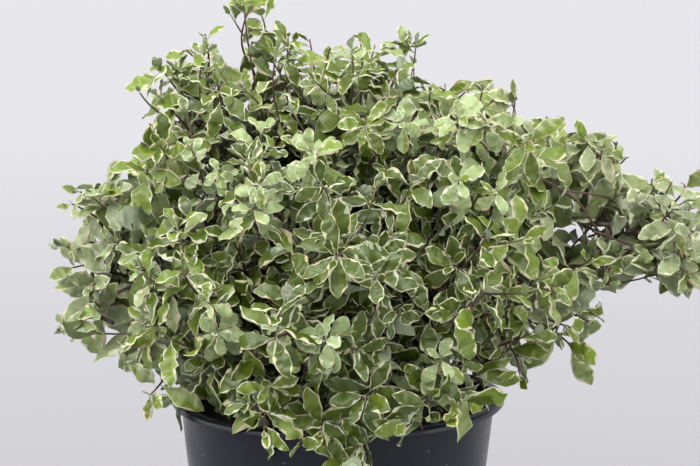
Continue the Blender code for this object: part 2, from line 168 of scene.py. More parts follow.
# Kinds of shoot: the size of the leaves, how widely they open, the stretch of the stem between
# them, how fresh they are, how deep their green is, with painted shade for the inner ones, the
# share of the lower ones that have dropped, and the least newness of any
SHOOT_TRAITS = ("size", "openness", "stretch", "fresh", "green_depth_and_painted_light", "bare", "flush")
SHOOT_KINDS = {
    "tall": (0.86, 0.95, 1.80, 0.30, 0.35, 0.40, 0.0),
    "whorl": (0.96, 1.00, 1.00, 0.40, 0.35, 0.08, 0.0),
    "bright": (0.68, 1.10, 0.70, 0.95, 0.15, 0.0, 0.54),
    "lime": (0.76, 0.95, 1.20, 1.05, 0.20, 0.0, 0.8),
    "tuft": (0.52, 0.80, 1.20, 1.25, 0.40, 0.0, 0.8),
    "dense": (0.66, 0.95, 0.60, 0.45, 0.10, 0.0, 0.3),
    "hang": (1.02, 0.80, 1.15, 0.35, 0.30, 0.0, 0.0),
    # The inner shoots' deep green is painted shade, for leaves that sit further in
    "inner": (1.00, 1.05, 1.20, 0.10, 0.80, 0.0, 0.0),
}
FREE_KINDS = {"whorl": 0.66, "tall": 0.24, "bright": 0.08, "lime": 0.02}

# Linear base colours and roughness of the leaf faces, in slot order
LEAF_TONES = [
    ("cream_edge", (0.462, 0.456, 0.262), 0.46),
    ("white_edge", (0.515, 0.522, 0.360), 0.44),
    ("lime_edge", (0.460, 0.515, 0.220), 0.44),
    ("blush_edge", (0.400, 0.340, 0.190), 0.50),
    ("green_deep", (0.061, 0.094, 0.005), 0.36),
    ("green_olive", (0.092, 0.130, 0.006), 0.38),
    ("green_mid", (0.122, 0.181, 0.012), 0.35),
    ("green_fresh", (0.168, 0.232, 0.025), 0.35),
    ("green_pale", (0.208, 0.258, 0.078), 0.38),
    # The grey green is painted light: the palest step, for leaves on the crown's sides and top
    ("green_grey_painted_light", (0.262, 0.308, 0.148), 0.40),
    ("green_young", (0.280, 0.358, 0.140), 0.34),
    ("green_tender", (0.355, 0.438, 0.215), 0.36),
    ("green_lime", (0.380, 0.500, 0.085), 0.36),
    ("under_pale", (0.365, 0.416, 0.270), 0.60),
    ("under_dull", (0.218, 0.266, 0.110), 0.62),
    ("brown_tip", (0.160, 0.085, 0.035), 0.60),
]
TONE = {name: index for index, (name, _, _) in enumerate(LEAF_TONES)}

# The pot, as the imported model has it, in metres
POT_HEIGHT = 0.205
RIM_RADIUS = 0.130
TOP_RADIUS = 0.1225
BASE_RADIUS = 0.099
POT_WALL = 0.0020
POT_FLOOR = 0.0025
COLLAR_HEIGHT = 0.0045
COLLAR_WALL = 0.0018
COLLAR_DRAFT = 0.0006
FOOT_INSET = 0.0010
CORNER_FILLET = 0.0021
DRAIN_HOLES = 8
DRAIN_RADIUS = 0.0055
DRAIN_RING_RADIUS = 0.070
DRAIN_TURN = math.pi / 48
SOIL_TOP = 0.186

# Linear base colours and roughness of the twigs, from old wood to the green tip of a shoot
TWIG_TONES = [
    ("twig_old", (0.110, 0.078, 0.062), 0.70),
    ("twig_brown", (0.098, 0.054, 0.042), 0.58),
    ("twig_purple", (0.080, 0.038, 0.036), 0.50),
    ("twig_green", (0.150, 0.140, 0.064), 0.48),
]

# ---- arrays and meshes ----


def unit(vectors):
    return vectors / np.linalg.norm(vectors, axis=-1, keepdims=True)


def ramp(gap, fade):
    """How far the gap has come through the fade, from 0 to 1."""
    return np.clip(gap / fade, 0.0, 1.0)


def line_run(line):
    """The distance along a line at each of its points."""
    return np.concatenate([[0], np.cumsum(np.linalg.norm(np.diff(line, axis=0), axis=1))])


def arc(t, start, corner, end):
    """The quadratic curve from the start, by the corner, to the end."""
    return (1 - t) ** 2 * start + 2 * t * (1 - t) * corner + t**2 * end


def face_cross(triangles):
    """The cross product of two sides of each triangle: on its normal, twice its area long."""
    return np.cross(triangles[:, 1] - triangles[:, 0], triangles[:, 2] - triangles[:, 0])


def square_to(along, steep):
    """Two unit vectors square to each way and to each other, found by X where it is steep."""
    helper = np.where(np.abs(along[..., 2:3]) < steep, UP, RIGHT)
    first = unit(np.cross(along, helper))
    return first, np.cross(along, first)


def round_way(turn, first, second):
    """The unit vector at the angle turn from first towards second."""
    return first * np.cos(turn)[..., None] + second * np.sin(turn)[..., None]


def node_points(name):
    mesh = NODES[name].data
    points = np.empty(len(mesh.vertices) * 3)
    mesh.vertices.foreach_get("co", points)
    return points.reshape(-1, 3)


def mesh_piece(name, points, faces, materials, slots, rim=None, crinkle=None):
    """One object from an array of points and a list of (faces, corners) index arrays.

    Slots gives each face's material. An edge whose two ends are both on the rim is sharp.
    Crinkle is a small vector for each point that tilts the normals there, as fine dents do.
    """
    mesh = bpy.data.meshes.new(name)
    corners = np.concatenate([block.ravel() for block in faces])
    counts = np.concatenate([np.full(len(block), block.shape[1]) for block in faces])
    starts = np.concatenate([[0], np.cumsum(counts)[:-1]])
    mesh.vertices.add(len(points))
    mesh.vertices.foreach_set("co", np.asarray(points, dtype=np.float32).ravel())
    mesh.loops.add(len(corners))
    mesh.loops.foreach_set("vertex_index", corners.astype(np.int32))
    mesh.polygons.add(len(counts))
    mesh.polygons.foreach_set("loop_start", starts.astype(np.int32))
    mesh.polygons.foreach_set("material_index", slots.astype(np.int32))
    mesh.polygons.foreach_set("use_smooth", np.full(len(counts), True))
    for material in materials:
        mesh.materials.append(material)
    mesh.update(calc_edges=True)
    if rim is not None:
        ends = np.empty(len(mesh.edges) * 2, dtype=np.int32)
        mesh.edges.foreach_get("vertices", ends)
        mesh.edges.foreach_set("use_edge_sharp", rim[ends.reshape(-1, 2)].all(axis=1))
    mesh.validate()
    if crinkle is not None:
        normals = np.empty(len(corners) * 3, dtype=np.float32)
        mesh.corner_normals.foreach_get("vector", normals)
        mesh.normals_split_custom_set(unit(normals.reshape(-1, 3) + crinkle[corners]))
    obj = bpy.data.objects.new(name, mesh)
    bpy.context.scene.collection.objects.link(obj)
    return obj


def ring_faces(rings, sides):
    """Quads between the rings of one tube or turned shape, whose points go round ring by ring."""
    ring, side = np.meshgrid(np.arange(rings - 1), np.arange(sides), indexing="ij")
    a = ring * sides + side
    b = ring * sides + (side + 1) % sides
    return np.stack([a, b, b + sides, a + sides], axis=-1).reshape(-1, 4)


def end_fans(rings, sides):
    """Triangles that close a tube on its two end points, which follow its rings."""
    spot = np.arange(sides)
    following = (spot + 1) % sides
    last = (rings - 1) * sides
    return np.concatenate([
        np.stack([np.full(sides, rings * sides), following, spot], axis=1),
        np.stack([np.full(sides, rings * sides + 1), last + spot, last + following], axis=1),
    ])


def tube_batch(paths, radii, sides):
    """Closed tubes along an array of paths: each ring is a circle square to its path."""
    count, steps, _ = paths.shape
    first, second = square_to(unit(np.gradient(paths, axis=1)), 0.9)
    turn = np.linspace(0, 2 * np.pi, sides, endpoint=False)
    ring = round_way(turn, first[:, :, None], second[:, :, None])
    if radii.ndim == 2:
        radii = radii[:, :, None]
    rings = paths[:, :, None] + ring * radii[..., None]
    tips = np.stack([paths[:, 0], paths[:, -1]], axis=1)
    points = np.concatenate([rings.reshape(count, -1, 3), tips], axis=1)
    offsets = (np.arange(count) * points.shape[1])[:, None, None]
    quads = (ring_faces(steps, sides)[None] + offsets).reshape(-1, 4)
    fans = (end_fans(steps, sides)[None] + offsets).reshape(-1, 3)
    return points, quads, fans


def stacked(batches):
    """The points of all the batches, and their quads and fans, each counted on from the last.

    A batch starts with its points, quads and fans.
    """
    points = [batch[0].reshape(-1, 3) for batch in batches]
    starts = np.cumsum([0] + [len(block) for block in points])
    faces = [batch[k] + start for k in (1, 2) for batch, start in zip(batches, starts)]
    return np.concatenate(points), faces


def curve_between(start, start_way, end, end_way, steps):
    """Cubic curves from start to end that set off and arrive along the given ways."""
    reach = np.linalg.norm(end - start, axis=-1, keepdims=True) / 3
    t = np.linspace(0, 1, steps)[None, :, None]
    corners = (start, start + start_way * reach, end - end_way * reach, end)
    weights = ((1 - t) ** 3, 3 * t * (1 - t) ** 2, 3 * t**2 * (1 - t), t**3)
    return sum(weight * corner[:, None] for weight, corner in zip(weights, corners))


def smooth_line(points, radii, spacing):
    """A line through the points and its radii, at even steps of about the spacing."""
    run = line_run(points)
    count = max(6, int(run[-1] / spacing))
    at = np.linspace(0, run[-1], count)
    line = np.stack([np.interp(at, run, points[:, axis]) for axis in range(3)], axis=1)
    for _ in range(max(1, count // 10)):
        line[1:-1] = (line[:-2] + 2 * line[1:-1] + line[2:]) / 4
    return line, np.interp(at, run, radii)


# ---- materials ----


def plain_material(name, colour, roughness, gloss=0.5):
    material = bpy.data.materials.new(name)
    material.use_nodes = True
    shader = material.node_tree.nodes["Principled BSDF"]
    shader.inputs["Base Color"].default_value = (*colour, 1.0)
    shader.inputs["Roughness"].default_value = roughness
    shader.inputs["Specular IOR Level"].default_value = gloss
    return material


def add_node(tree, kind, settings=None, **sockets):
    """A node with its settings, whose named sockets get a value or a link from an output.

    A socket is named with _ for each space, or numbered, as _0.
    """
    node = tree.nodes.new("ShaderNode" + kind)
    for key, value in (settings or {}).items():
        setattr(node, key, value)
    for key, value in sockets.items():
        number = key[1:]
        socket = node.inputs[int(number) if number.isdigit() else key.replace("_", " ")]
        if isinstance(value, bpy.types.NodeSocket):
            tree.links.new(value, socket)
        else:
            socket.default_value = value
    return node


def new_group(name, inputs, outputs):
    """An empty node group with the given float inputs, as name: default, and float outputs."""
    tree = bpy.data.node_groups.new(name, "ShaderNodeTree")
    for label, default in inputs.items():
        socket = tree.interface.new_socket(label, in_out="INPUT", socket_type="NodeSocketFloat")
        socket.default_value = default
    for label in outputs:
        tree.interface.new_socket(label, in_out="OUTPUT", socket_type="NodeSocketFloat")
    return tree, tree.nodes.new("NodeGroupInput"), tree.nodes.new("NodeGroupOutput")


@lru_cache(maxsize=None)
def mottle_group():
    """Cloudy unevenness: soft noise on the piece's own coordinates, from 0 to 1."""
    tree, given, result = new_group("mottle", {"Scale": 20.0, "Detail": 3.0}, ["Cloud"])
    place = add_node(tree, "TexCoord")
    noise = add_node(
        tree, "TexNoise", Vector=place.outputs["Object"], Scale=given.outputs["Scale"],
        Detail=given.outputs["Detail"],
    )
    spread = add_node(
        tree, "MapRange", Value=noise.outputs["Fac"], From_Min=0.32, From_Max=0.68
    )
    tree.links.new(spread.outputs["Result"], result.inputs["Cloud"])
    return tree


@lru_cache(maxsize=None)
def speck_group():
    """Scattered specks: the middles of some cells of a Voronoi pattern, a share of them all."""
    inputs = {"Scale": 200.0, "Size": 0.25, "Share": 0.3}
    tree, given, result = new_group("specks", inputs, ["Speck"])
    place = add_node(tree, "TexCoord")
    cells = add_node(
        tree, "TexVoronoi", Vector=place.outputs["Object"], Scale=given.outputs["Scale"]
    )
    near = add_node(
        tree, "MapRange", Value=cells.outputs["Distance"], From_Min=given.outputs["Size"],
        From_Max=0.0,
    )
    pick_out = add_node(tree, "SeparateColor", Color=cells.outputs["Color"])
    chosen = add_node(
        tree, "Math", {"operation": "LESS_THAN"}, _0=pick_out.outputs["Red"],
        _1=given.outputs["Share"],
    )
    speck = add_node(
        tree, "Math", {"operation": "MULTIPLY"}, _0=near.outputs["Result"],
        _1=chosen.outputs["Value"],
    )
    tree.links.new(speck.outputs["Value"], result.inputs["Speck"])
    return tree


def place_group(tree, group, output, **values):
    node = tree.nodes.new("ShaderNodeGroup")
    node.node_tree = group
    for key, value in values.items():
        node.inputs[key].default_value = value
    return node.outputs[output]


def blend(tree, factor, low, high):
    """A colour between low and high, each a colour or another node's output."""
    ends = [
        end if isinstance(end, bpy.types.NodeSocket) else (*end, 1.0) for end in (low, high)
    ]
    mix = add_node(tree, "Mix", {"data_type": "RGBA"}, _0=factor, _6=ends[0], _7=ends[1])
    return mix.outputs[2]


def level(tree, value, low, high):
    """The value, from 0 to 1, brought to between low and high."""
    return add_node(tree, "MapRange", Value=value, To_Min=low, To_Max=high).outputs["Result"]


def finish_shader(material, colour, roughness, height, depth):
    """Colour, roughness and a bump of the given depth in metres into the material's shader."""
    tree = material.node_tree
    shader = tree.nodes["Principled BSDF"]
    bump = add_node(tree, "Bump", Height=height, Distance=depth)
    tree.links.new(colour, shader.inputs["Base Color"])
    tree.links.new(roughness, shader.inputs["Roughness"])
    tree.links.new(bump.outputs["Normal"], shader.inputs["Normal"])
    return material


def plastic_material(colour, dust):
    """Satin pot plastic: faint clouds in its colour and gloss, fine grain and specks of dust."""
    material = plain_material("pot_satin_plastic", colour, 0.4, gloss=0.30)
    tree = material.node_tree
    cloud = place_group(tree, mottle_group(), "Cloud", Scale=26.0, Detail=4.0)
    grain = place_group(tree, mottle_group(), "Cloud", Scale=900.0, Detail=2.0)
    speck = place_group(tree, speck_group(), "Speck", Scale=210.0, Size=0.30, Share=dust)
    base = blend(tree, cloud, colour, tuple(1.35 * part for part in colour))
    base = blend(tree, speck, base, (0.13, 0.13, 0.125))
    gloss = level(tree, cloud, 0.24, 0.37)
    return finish_shader(material, base, gloss, grain, 0.00006)


def compost_material():
    """Dark moist compost with paler bits of bark and a few pale grains."""
    material = plain_material("moist_compost", (0.03, 0.02, 0.015), 0.95)
    tree = material.node_tree
    crumb = place_group(tree, mottle_group(), "Cloud", Scale=260.0, Detail=5.0)
    chip = place_group(tree, speck_group(), "Speck", Scale=170.0, Size=0.55, Share=0.22)
    pale = place_group(tree, speck_group(), "Speck", Scale=330.0, Size=0.35, Share=0.05)
    base = blend(tree, crumb, (0.012, 0.009, 0.007), (0.048, 0.033, 0.023))
    base = blend(tree, chip, base, (0.085, 0.055, 0.034))
    base = blend(tree, pale, base, (0.36, 0.34, 0.30))
    return finish_shader(material, base, level(tree, crumb, 0.80, 1.0), crumb, 0.0006)


def bark_material(colour):
    """Purple-brown bark, greyer where its clouds are light, with pale breathing pores."""
    material = plain_material("pittosporum_bark", colour, 0.6)
    tree = material.node_tree
    cloud = place_group(tree, mottle_group(), "Cloud", Scale=120.0, Detail=5.0)
    grain = place_group(tree, mottle_group(), "Cloud", Scale=1100.0, Detail=3.0)
    pore = place_group(tree, speck_group(), "Speck", Scale=420.0, Size=0.28, Share=0.30)
    base = blend(tree, cloud, tuple(0.7 * part for part in colour), (0.105, 0.080, 0.066))
    base = blend(tree, pore, base, (0.20, 0.155, 0.12))
    return finish_shader(material, base, level(tree, grain, 0.48, 0.70), grain, 0.0002)


# ---- the crown's shoots ----

# Metres: where the crown's skirt, top and middle set in and over what height, and where its
# left and right sides do, by the distance from the pot's axis. The top and the sides get paler
# greens for painted light, and the middle deeper ones for painted shade
LOW_TOP, LOW_FADE = 0.27, 0.06
LIT_TOP_FOOT, LIT_TOP_FADE = 0.38, 0.10
SHADED_CORE_TOP, SHADED_CORE_FADE = 0.46, 0.07
SIDE_START, SIDE_FADE = 0.09, 0.10

# A mass's face is in the open where a ray from just off it meets nothing for so far, and it isn't
# turned to the crown's middle. Faces with a smaller cross product are slivers and don't count
RAY_START, RAY_REACH = 0.0015, 0.055
LEAST_OUTWARD = -0.25
LEAST_CROSS = 2e-8
# How many random places are tried for tips of shoots
TIP_TRIES = 12000

# Distances from the camera at which a marked tip beside the crown is looked for, the length of a
# marked shoot, and the least of it that runs inwards
TRIED_DISTANCES = np.linspace(1.40, 1.75, 60)
MARKED_LENGTH, LEAST_INWARD = 0.060, 0.012

# The other shoots: their length, the share of them with a second one further in, how much
# further, and its length
FREE_LENGTH = (0.052, 0.076)
INNER_SHARE = 0.55
INNER_DEPTH = (0.026, 0.046)
INNER_LENGTH = 0.055
# Points of a shoot's path, and the largest size of its leaves
SHOOT_POINTS = 8
LARGEST_SIZE = 1.12


def mass_surfaces():
    """Corners, mass numbers and outward normals of the faces of every foliage mass."""
    triangles, owner = [], []
    for number, name in enumerate(MASS_NAMES):
        mesh = NODES[name].data
        mesh.calc_loop_triangles()
        count = len(mesh.loop_triangles)
        corners = np.empty(count * 3, dtype=np.int32)
        mesh.loop_triangles.foreach_get("vertices", corners)
        triangles.append(node_points(name)[corners.reshape(-1, 3)])
        owner.append(np.full(count, number))
    triangles, owner = np.concatenate(triangles), np.concatenate(owner)
    cross = face_cross(triangles)
    size = np.linalg.norm(cross, axis=1)
    keep = size > LEAST_CROSS
    return triangles[keep], owner[keep], cross[keep] / size[keep, None]


def surface_tree(triangles):
    points = triangles.reshape(-1, 3)
    polygons = np.arange(len(points)).reshape(-1, 3)
    return BVHTree.FromPolygons(points.tolist(), polygons.tolist())


def exposed(tree, triangles, normal):
    """Faces whose outward ray meets no other mass, and that don't face the crown's middle."""
    centres = triangles.mean(axis=1)
    free = np.array([
        tree.ray_cast(Vector(c + n * RAY_START), Vector(n), RAY_REACH)[0] is None
        for c, n in zip(centres, normal)
    ])
    outward = np.einsum("ij,ij->i", normal, unit(centres - CROWN_MIDDLE)) > LEAST_OUTWARD
    return free & outward


def scatter_tips(triangles, spacing, taken, rng):
    """Points on the faces, none nearer than the spacing to another or to the ones taken."""
    area = np.linalg.norm(face_cross(triangles), axis=1)
    choice = rng.choice(len(area), TIP_TRIES, p=area / area.sum())
    mix = rng.dirichlet((1.0, 1.0, 1.0), TIP_TRIES)
    points = np.einsum("ij,ijk->ik", mix, triangles[choice])
    kept = []
    others = np.asarray(taken)
    for index in range(TIP_TRIES):
        if np.min(np.sum((others - points[index]) ** 2, axis=1)) < spacing**2:
            continue
        kept.append(index)
        others = np.concatenate([taken, points[kept]])
    return points[kept], choice[kept]


def pixel_ways(pixels):
    """The way in which each pixel of the photograph is seen from its camera."""
    width, height = IMAGE_SIZE
    scale = SENSOR_MM / LENS_MM / width
    across = (pixels[:, :1] - width / 2) * scale
    down = (pixels[:, 1:] - height / 2) * scale
    return unit(SIGHT + across * RIGHT - down * CAMERA_UP)


def picture_places(points):
    """The pixels of the photograph at which its camera sees the points."""
    width, height = IMAGE_SIZE
    gap = points - CAMERA_PLACE
    scale = LENS_MM / SENSOR_MM * width / (gap @ SIGHT)
    return np.stack([width / 2 + gap[..., 0] * scale, height / 2 - (gap @ CAMERA_UP) * scale], -1)


def in_open(points, circles):
    """Whether each point is seen inside one of the open places."""
    pixels = picture_places(points)[..., None, :]
    circles = np.array(circles, dtype=float)
    return (np.linalg.norm(pixels - circles[:, :2], axis=-1) < circles[:, 2]).any(axis=-1)


def marked_shoots(tree, owner):
    """Stem ends of the marked shoots: the tip on the crown's near face, the foot inside it."""
    marks = np.array([mark[:4] for mark in MARKED_SHOOTS], dtype=float)
    tips, feet, masses = [], [], []
    for tip_way, foot_way in zip(pixel_ways(marks[:, :2]), pixel_ways(marks[:, 2:])):
        hit, _, face, distance = tree.ray_cast(Vector(CAMERA_PLACE), Vector(tip_way))
        if hit is None:
            samples = CAMERA_PLACE + tip_way * TRIED_DISTANCES[:, None]
            near = [tree.find_nearest(Vector(sample)) for sample in samples]
            best = int(np.argmin([found[3] for found in near]))
            face = near[best][2]
            distance = float(np.linalg.norm(samples[best] - CAMERA_PLACE))
        tip = CAMERA_PLACE + tip_way * distance
        shown = np.linalg.norm(tip - (CAMERA_PLACE + foot_way * distance))
        inward = math.sqrt(max(MARKED_LENGTH**2 - shown**2, LEAST_INWARD**2))
        tips.append(tip)
        feet.append(CAMERA_PLACE + foot_way * (distance + inward))
        masses.append(owner[face])
    return np.array(tips), np.array(feet), np.array(masses)


def side_share(points):
    """How far out on the left or right of the crown each point is, from 0 to 1."""
    return ramp(np.abs(points[:, 0]) - SIDE_START, SIDE_FADE)


def free_shoots(points, normals, rng):
    """Ends of the other shoots: they leave the crown's inside and bend upwards at the tip.

    They set off outwards and, on the sides of the crown, sideways. The lower they are, the less
    they bend up.
    """
    count = len(points)
    outward = unit(points - CROWN_MIDDLE)
    low = ramp(LOW_TOP - points[:, 2:3], LOW_FADE)
    side = side_share(points)[:, None]
    sideways = np.sign(points[:, :1]) * RIGHT * side
    rise = UP * (0.70 - 0.85 * low - 0.15 * side)
    way = unit(0.50 * normals + 0.60 * outward + 0.5 * sideways + rise)
    way = unit(way + rng.normal(0, 0.25, (count, 3)))
    start_way = 0.7 * outward + 0.5 * normals + 0.8 * sideways
    start_way = unit(start_way + rng.normal(0, 0.14, (count, 3)))
    length = rng.uniform(*FREE_LENGTH, (count, 1)) * (1 + 0.35 * side)
    tips = points - way * (rng.uniform(0.006, 0.020, (count, 1)) + 0.008 * low)
    feet = tips - (0.55 * way + 0.45 * start_way) * length
    return feet, start_way, tips


def inner_shoots(start_ways, ends, rng):
    """Paths of the shoots further in: like the free ones that end there, but shorter and lower."""
    depth = rng.uniform(*INNER_DEPTH, (len(ends), 1))
    ways = unit(start_ways + rng.normal(0, 0.45, ends.shape))
    tips = ends - unit(ends - CROWN_MIDDLE) * depth
    return bowed_paths(tips - ways * INNER_LENGTH, ways, tips)


def bowed_paths(feet, start_ways, tips):
    """Each shoot is a quadratic curve that sets off along its start way and ends at its tip."""
    reach = np.linalg.norm(tips - feet, axis=1, keepdims=True)
    elbow = feet + start_ways * reach * 0.5
    t = np.linspace(0, 1, SHOOT_POINTS)[None, :, None]
    return arc(t, feet[:, None], elbow[:, None], tips[:, None])


def shoot_traits(kinds, tips, rng):
    """The traits of each shoot's kind, changed by chance and by where on the crown its tip is.

    Low and side shoots have larger leaves. Painted shade makes the green deepest in the middle of
    the crown, and painted light makes it palest on its sides and top.
    """
    count = len(kinds)
    table = np.array([SHOOT_KINDS[kind] for kind in kinds])
    traits = dict(zip(SHOOT_TRAITS, table.T))
    side, height = side_share(tips), tips[:, 2]
    low = ramp(LOW_TOP - height, LOW_FADE)
    # The top's share here paints light and the middle's share paints shade: they only make the
    # greens paler or deeper
    high = ramp(height - LIT_TOP_FOOT, LIT_TOP_FADE)
    shaded_core = ramp(SHADED_CORE_TOP - height, SHADED_CORE_FADE) * (1 - side) * (1 - 0.7 * low)
    size = traits["size"] * rng.uniform(0.80, 1.06, count)
    green_depth_and_painted_light = traits["green_depth_and_painted_light"] + rng.uniform(-0.1, 0.5, count)
    return {
        **traits,
        "size": np.minimum(size * (1 + 0.24 * low + 0.16 * side), LARGEST_SIZE),
        # painted light pales the greens on the sides and top, painted shade deepens them in the
        # middle
        "green_depth_and_painted_light": green_depth_and_painted_light + 0.06 - 0.66 * side - 0.24 * high + 0.40 * shaded_core,
        "stretch": traits["stretch"] * (1 + 0.5 * side),
        "fresh": traits["fresh"] * rng.uniform(0.8, 1.15, count),
        "low": low,
        "side": side,
    }


@lru_cache(maxsize=1)
def crown_shoots(spacing, seed):
    """Paths, masses and traits of every shoot: the marked, the free and those further in."""
    rng = np.random.default_rng(seed)
    triangles, owner, normal = mass_surfaces()
    tree = surface_tree(triangles)
    tips, feet, masses = marked_shoots(tree, owner)
    rise = unit(tips - feet)
    marked = bowed_paths(feet, unit(rise + 0.25 * rng.normal(0, 1, rise.shape)), tips)
    free = exposed(tree, triangles, normal)
    points, faces = scatter_tips(triangles[free], spacing, tips, rng)
    seen = ~in_open(points, OPEN_BACKDROP)
    points, faces = points[seen], faces[seen]
    feet, start_ways, ends = free_shoots(points, normal[free][faces], rng)
    inner = rng.random(len(points)) < INNER_SHARE
    inner_paths = inner_shoots(start_ways[inner], ends[inner], rng)
    paths = np.concatenate([marked, bowed_paths(feet, start_ways, ends), inner_paths])
    kinds = [mark[4] for mark in MARKED_SHOOTS]
    kinds += list(rng.choice(list(FREE_KINDS), len(points), p=list(FREE_KINDS.values())))
    kinds += ["inner"] * int(inner.sum())
    traits = shoot_traits(kinds, paths[:, -1], rng)
    free_masses = owner[free][faces]
    masses = np.concatenate([masses, free_masses, free_masses[inner]])
    bare = set(range(len(MASS_NAMES))) - set(masses.tolist())
    if bare:
        raise RuntimeError(f"masses with no shoot: {[MASS_NAMES[mass] for mass in bare]}")
    return paths, masses, traits


# ---- leaves ----

LEAVES_A_SHOOT = 14
# A shoot that keeps less than this share of its leaves loses the rest too
LEAST_SHOWN = 0.43
# Shares of a leaf's length at which it is looked at for whether it hides an open place
LEAF_SPOTS = np.array([0.3, 0.55, 0.8, 1.0])
# Spread of the tilt that fine dents give a leaf's normals, as a share of their length, and how
# far its margin is jagged, as a share of its half-width
LEAF_CRINKLE = 0.20
LEAF_JAG = 0.075
# The underside's depth in metres, and the strip of the top, the blade's right half, that takes a
# painted-light green on some leaves
BLADE_DEPTH = 0.00035
PAINTED_LIGHT_STRIP = 2
# Rows along a blade: in full view, on the crown's far side, and deep in it or just opening.
# Leaves just opening are the first of a shoot, and deep ones follow these ranks, on any shoot and
# on one of the far side
LEAF_ROWS = (13, 9, 6)
OPENING_RANKS, DEEP_RANK, FAR_DEEP_RANK = 2, 11, 8
# A shoot is in front while its way out from the crown's middle has less than this along the sight
FRONT_LIMIT = 0.12
# Masses whose middle is higher than this belong to the four upper pieces
UPPER_HEIGHT = 0.37
LEAF_GLOSS = 0.55

# Spread of the bell curve by which leaves of one age differ
LEAF_SCATTER = {
    "turn": 0.22, "lean": math.radians(8), "way": 0.15, "facing": 0.34, "newness": 0.06,
    "green_depth_and_painted_light": 0.16,
}
# What chance adds to a leaf's shape: evenly between two values, or by a bell curve's middle and
# spread. Lengths are shares of the leaf's own, except the edge's, in metres
LEAF_CHANCE = {
    "width": ("even", 0.84, 1.14),
    "bend": ("even", 0.1, 1.3),
    "fold": ("even", 2, 32),
    "bulge": ("even", 0.05, 0.55),
    "ripple": ("even", 0.028, 0.074),
    "sway": ("even", 0.0, 0.12),
    "veer": ("bell", 0, 0.07),
    "twist": ("bell", 0, 0.60),
    "waves": ("even", 2.2, 3.9),
    "phase": ("even", 0, 2 * np.pi),
    "skew": ("even", 0, np.pi),
    "edge": ("even", 0.00035, 0.00075),
}

# Greens from the palest to the deepest, and the newness above which a part of a leaf takes on
# another tone. A leaf's green depth, with its painted light and shade, picks its step, so the
# crown's sides and top take the paler greens and its middle the deeper ones
BODY_GREENS = ["green_grey_painted_light", "green_pale", "green_fresh", "green_mid", "green_olive", "green_deep"]
YOUNG_TONES = {
    "tone": ((0.48, "green_young"), (0.90, "green_tender"), (1.12, "green_lime")),
    "painted_light_half_tone": ((0.48, "green_fresh"), (0.90, "green_young")),
    "edge_tone": ((0.60, "white_edge"), (1.12, "lime_edge")),
}
# Shares of leaves with a pale underside, a white edge, a blush on it, and a half of the blade in
# painted light
PALE_SHARE, WHITE_SHARE, BLUSH_SHARE, PAINTED_LIGHT_HALF_SHARE = 0.5, 0.35, 0.06, 0.25


def leaf_ranks():
    """Size, place and age of the leaves of one shoot, from its tip down.

    Leaf k is 39.5 mm long less 80% that dies away with k, sits 0.35 k + 0.30 k^2 mm below the tip,
    spreads from 8 to 84 degrees off the shoot, and has an age of 0, just opened, to 1, full grown.
    """
    k = np.arange(LEAVES_A_SHOOT)
    length = 0.0395 * (1 - 0.80 * np.exp(-k / 3.8))
    down = 0.001 * (0.35 * k + 0.30 * k**2)
    spread = np.radians(8 + 76 * (1 - np.exp(-k / 3.2)))
    age = 1 - np.exp(-((k / 3.6) ** 1.3))
    return length, down, spread, age


def along_paths(paths, share):
    """The places at the given shares of each path and the ways that it runs there."""
    steps = paths.shape[1] - 1
    place = np.clip(share * steps, 0, steps - 1e-6)
    index = place.astype(int)
    rest = (place - index)[..., None]
    rows = np.arange(len(paths))[:, None]
    start, end = paths[rows, index], paths[rows, index + 1]
    return start * (1 - rest) + end * rest, unit(end - start)


def pick(leaves, mask):
    return {key: value[mask] for key, value in leaves.items()}


def leaf_axes(base, along, spread, age, shoots, rng):
    """Each leaf's own axes: X along its midrib, Y across it and Z square to its blade.

    Leaves follow each other round the shoot at the golden angle. X leans away from the shoot by
    the leaf's spread and sags with age. Z turns towards the shoot's tip, the sky and the outside.
    """
    shape = base.shape[:2]
    turn = np.arange(LEAVES_A_SHOOT)[None, :] * GOLDEN_ANGLE
    turn = turn + rng.uniform(0, 2 * np.pi, (len(base), 1))
    turn = turn + rng.normal(0, LEAF_SCATTER["turn"], shape)
    radial = round_way(turn, *square_to(along, 0.95))
    lean = spread * shoots["openness"] + rng.normal(0, LEAF_SCATTER["lean"], shape)
    x_axis = round_way(lean, along, radial)
    sag = age**2 * rng.uniform(-0.15, 0.70, shape) + 0.45 * shoots["low"]
    x_axis = x_axis - sag[..., None] * UP
    x_axis = unit(x_axis + rng.normal(0, LEAF_SCATTER["way"], x_axis.shape))
    z_axis = along - x_axis * np.sum(along * x_axis, axis=-1, keepdims=True)
    z_axis = unit(z_axis) + age[..., None] * (0.35 * UP + 0.30 * unit(base - CROWN_MIDDLE))
    z_axis = unit(z_axis + rng.normal(0, LEAF_SCATTER["facing"], z_axis.shape))
    y_axis = unit(np.cross(z_axis, x_axis))
    return np.stack([x_axis, y_axis, np.cross(x_axis, y_axis)], axis=2)


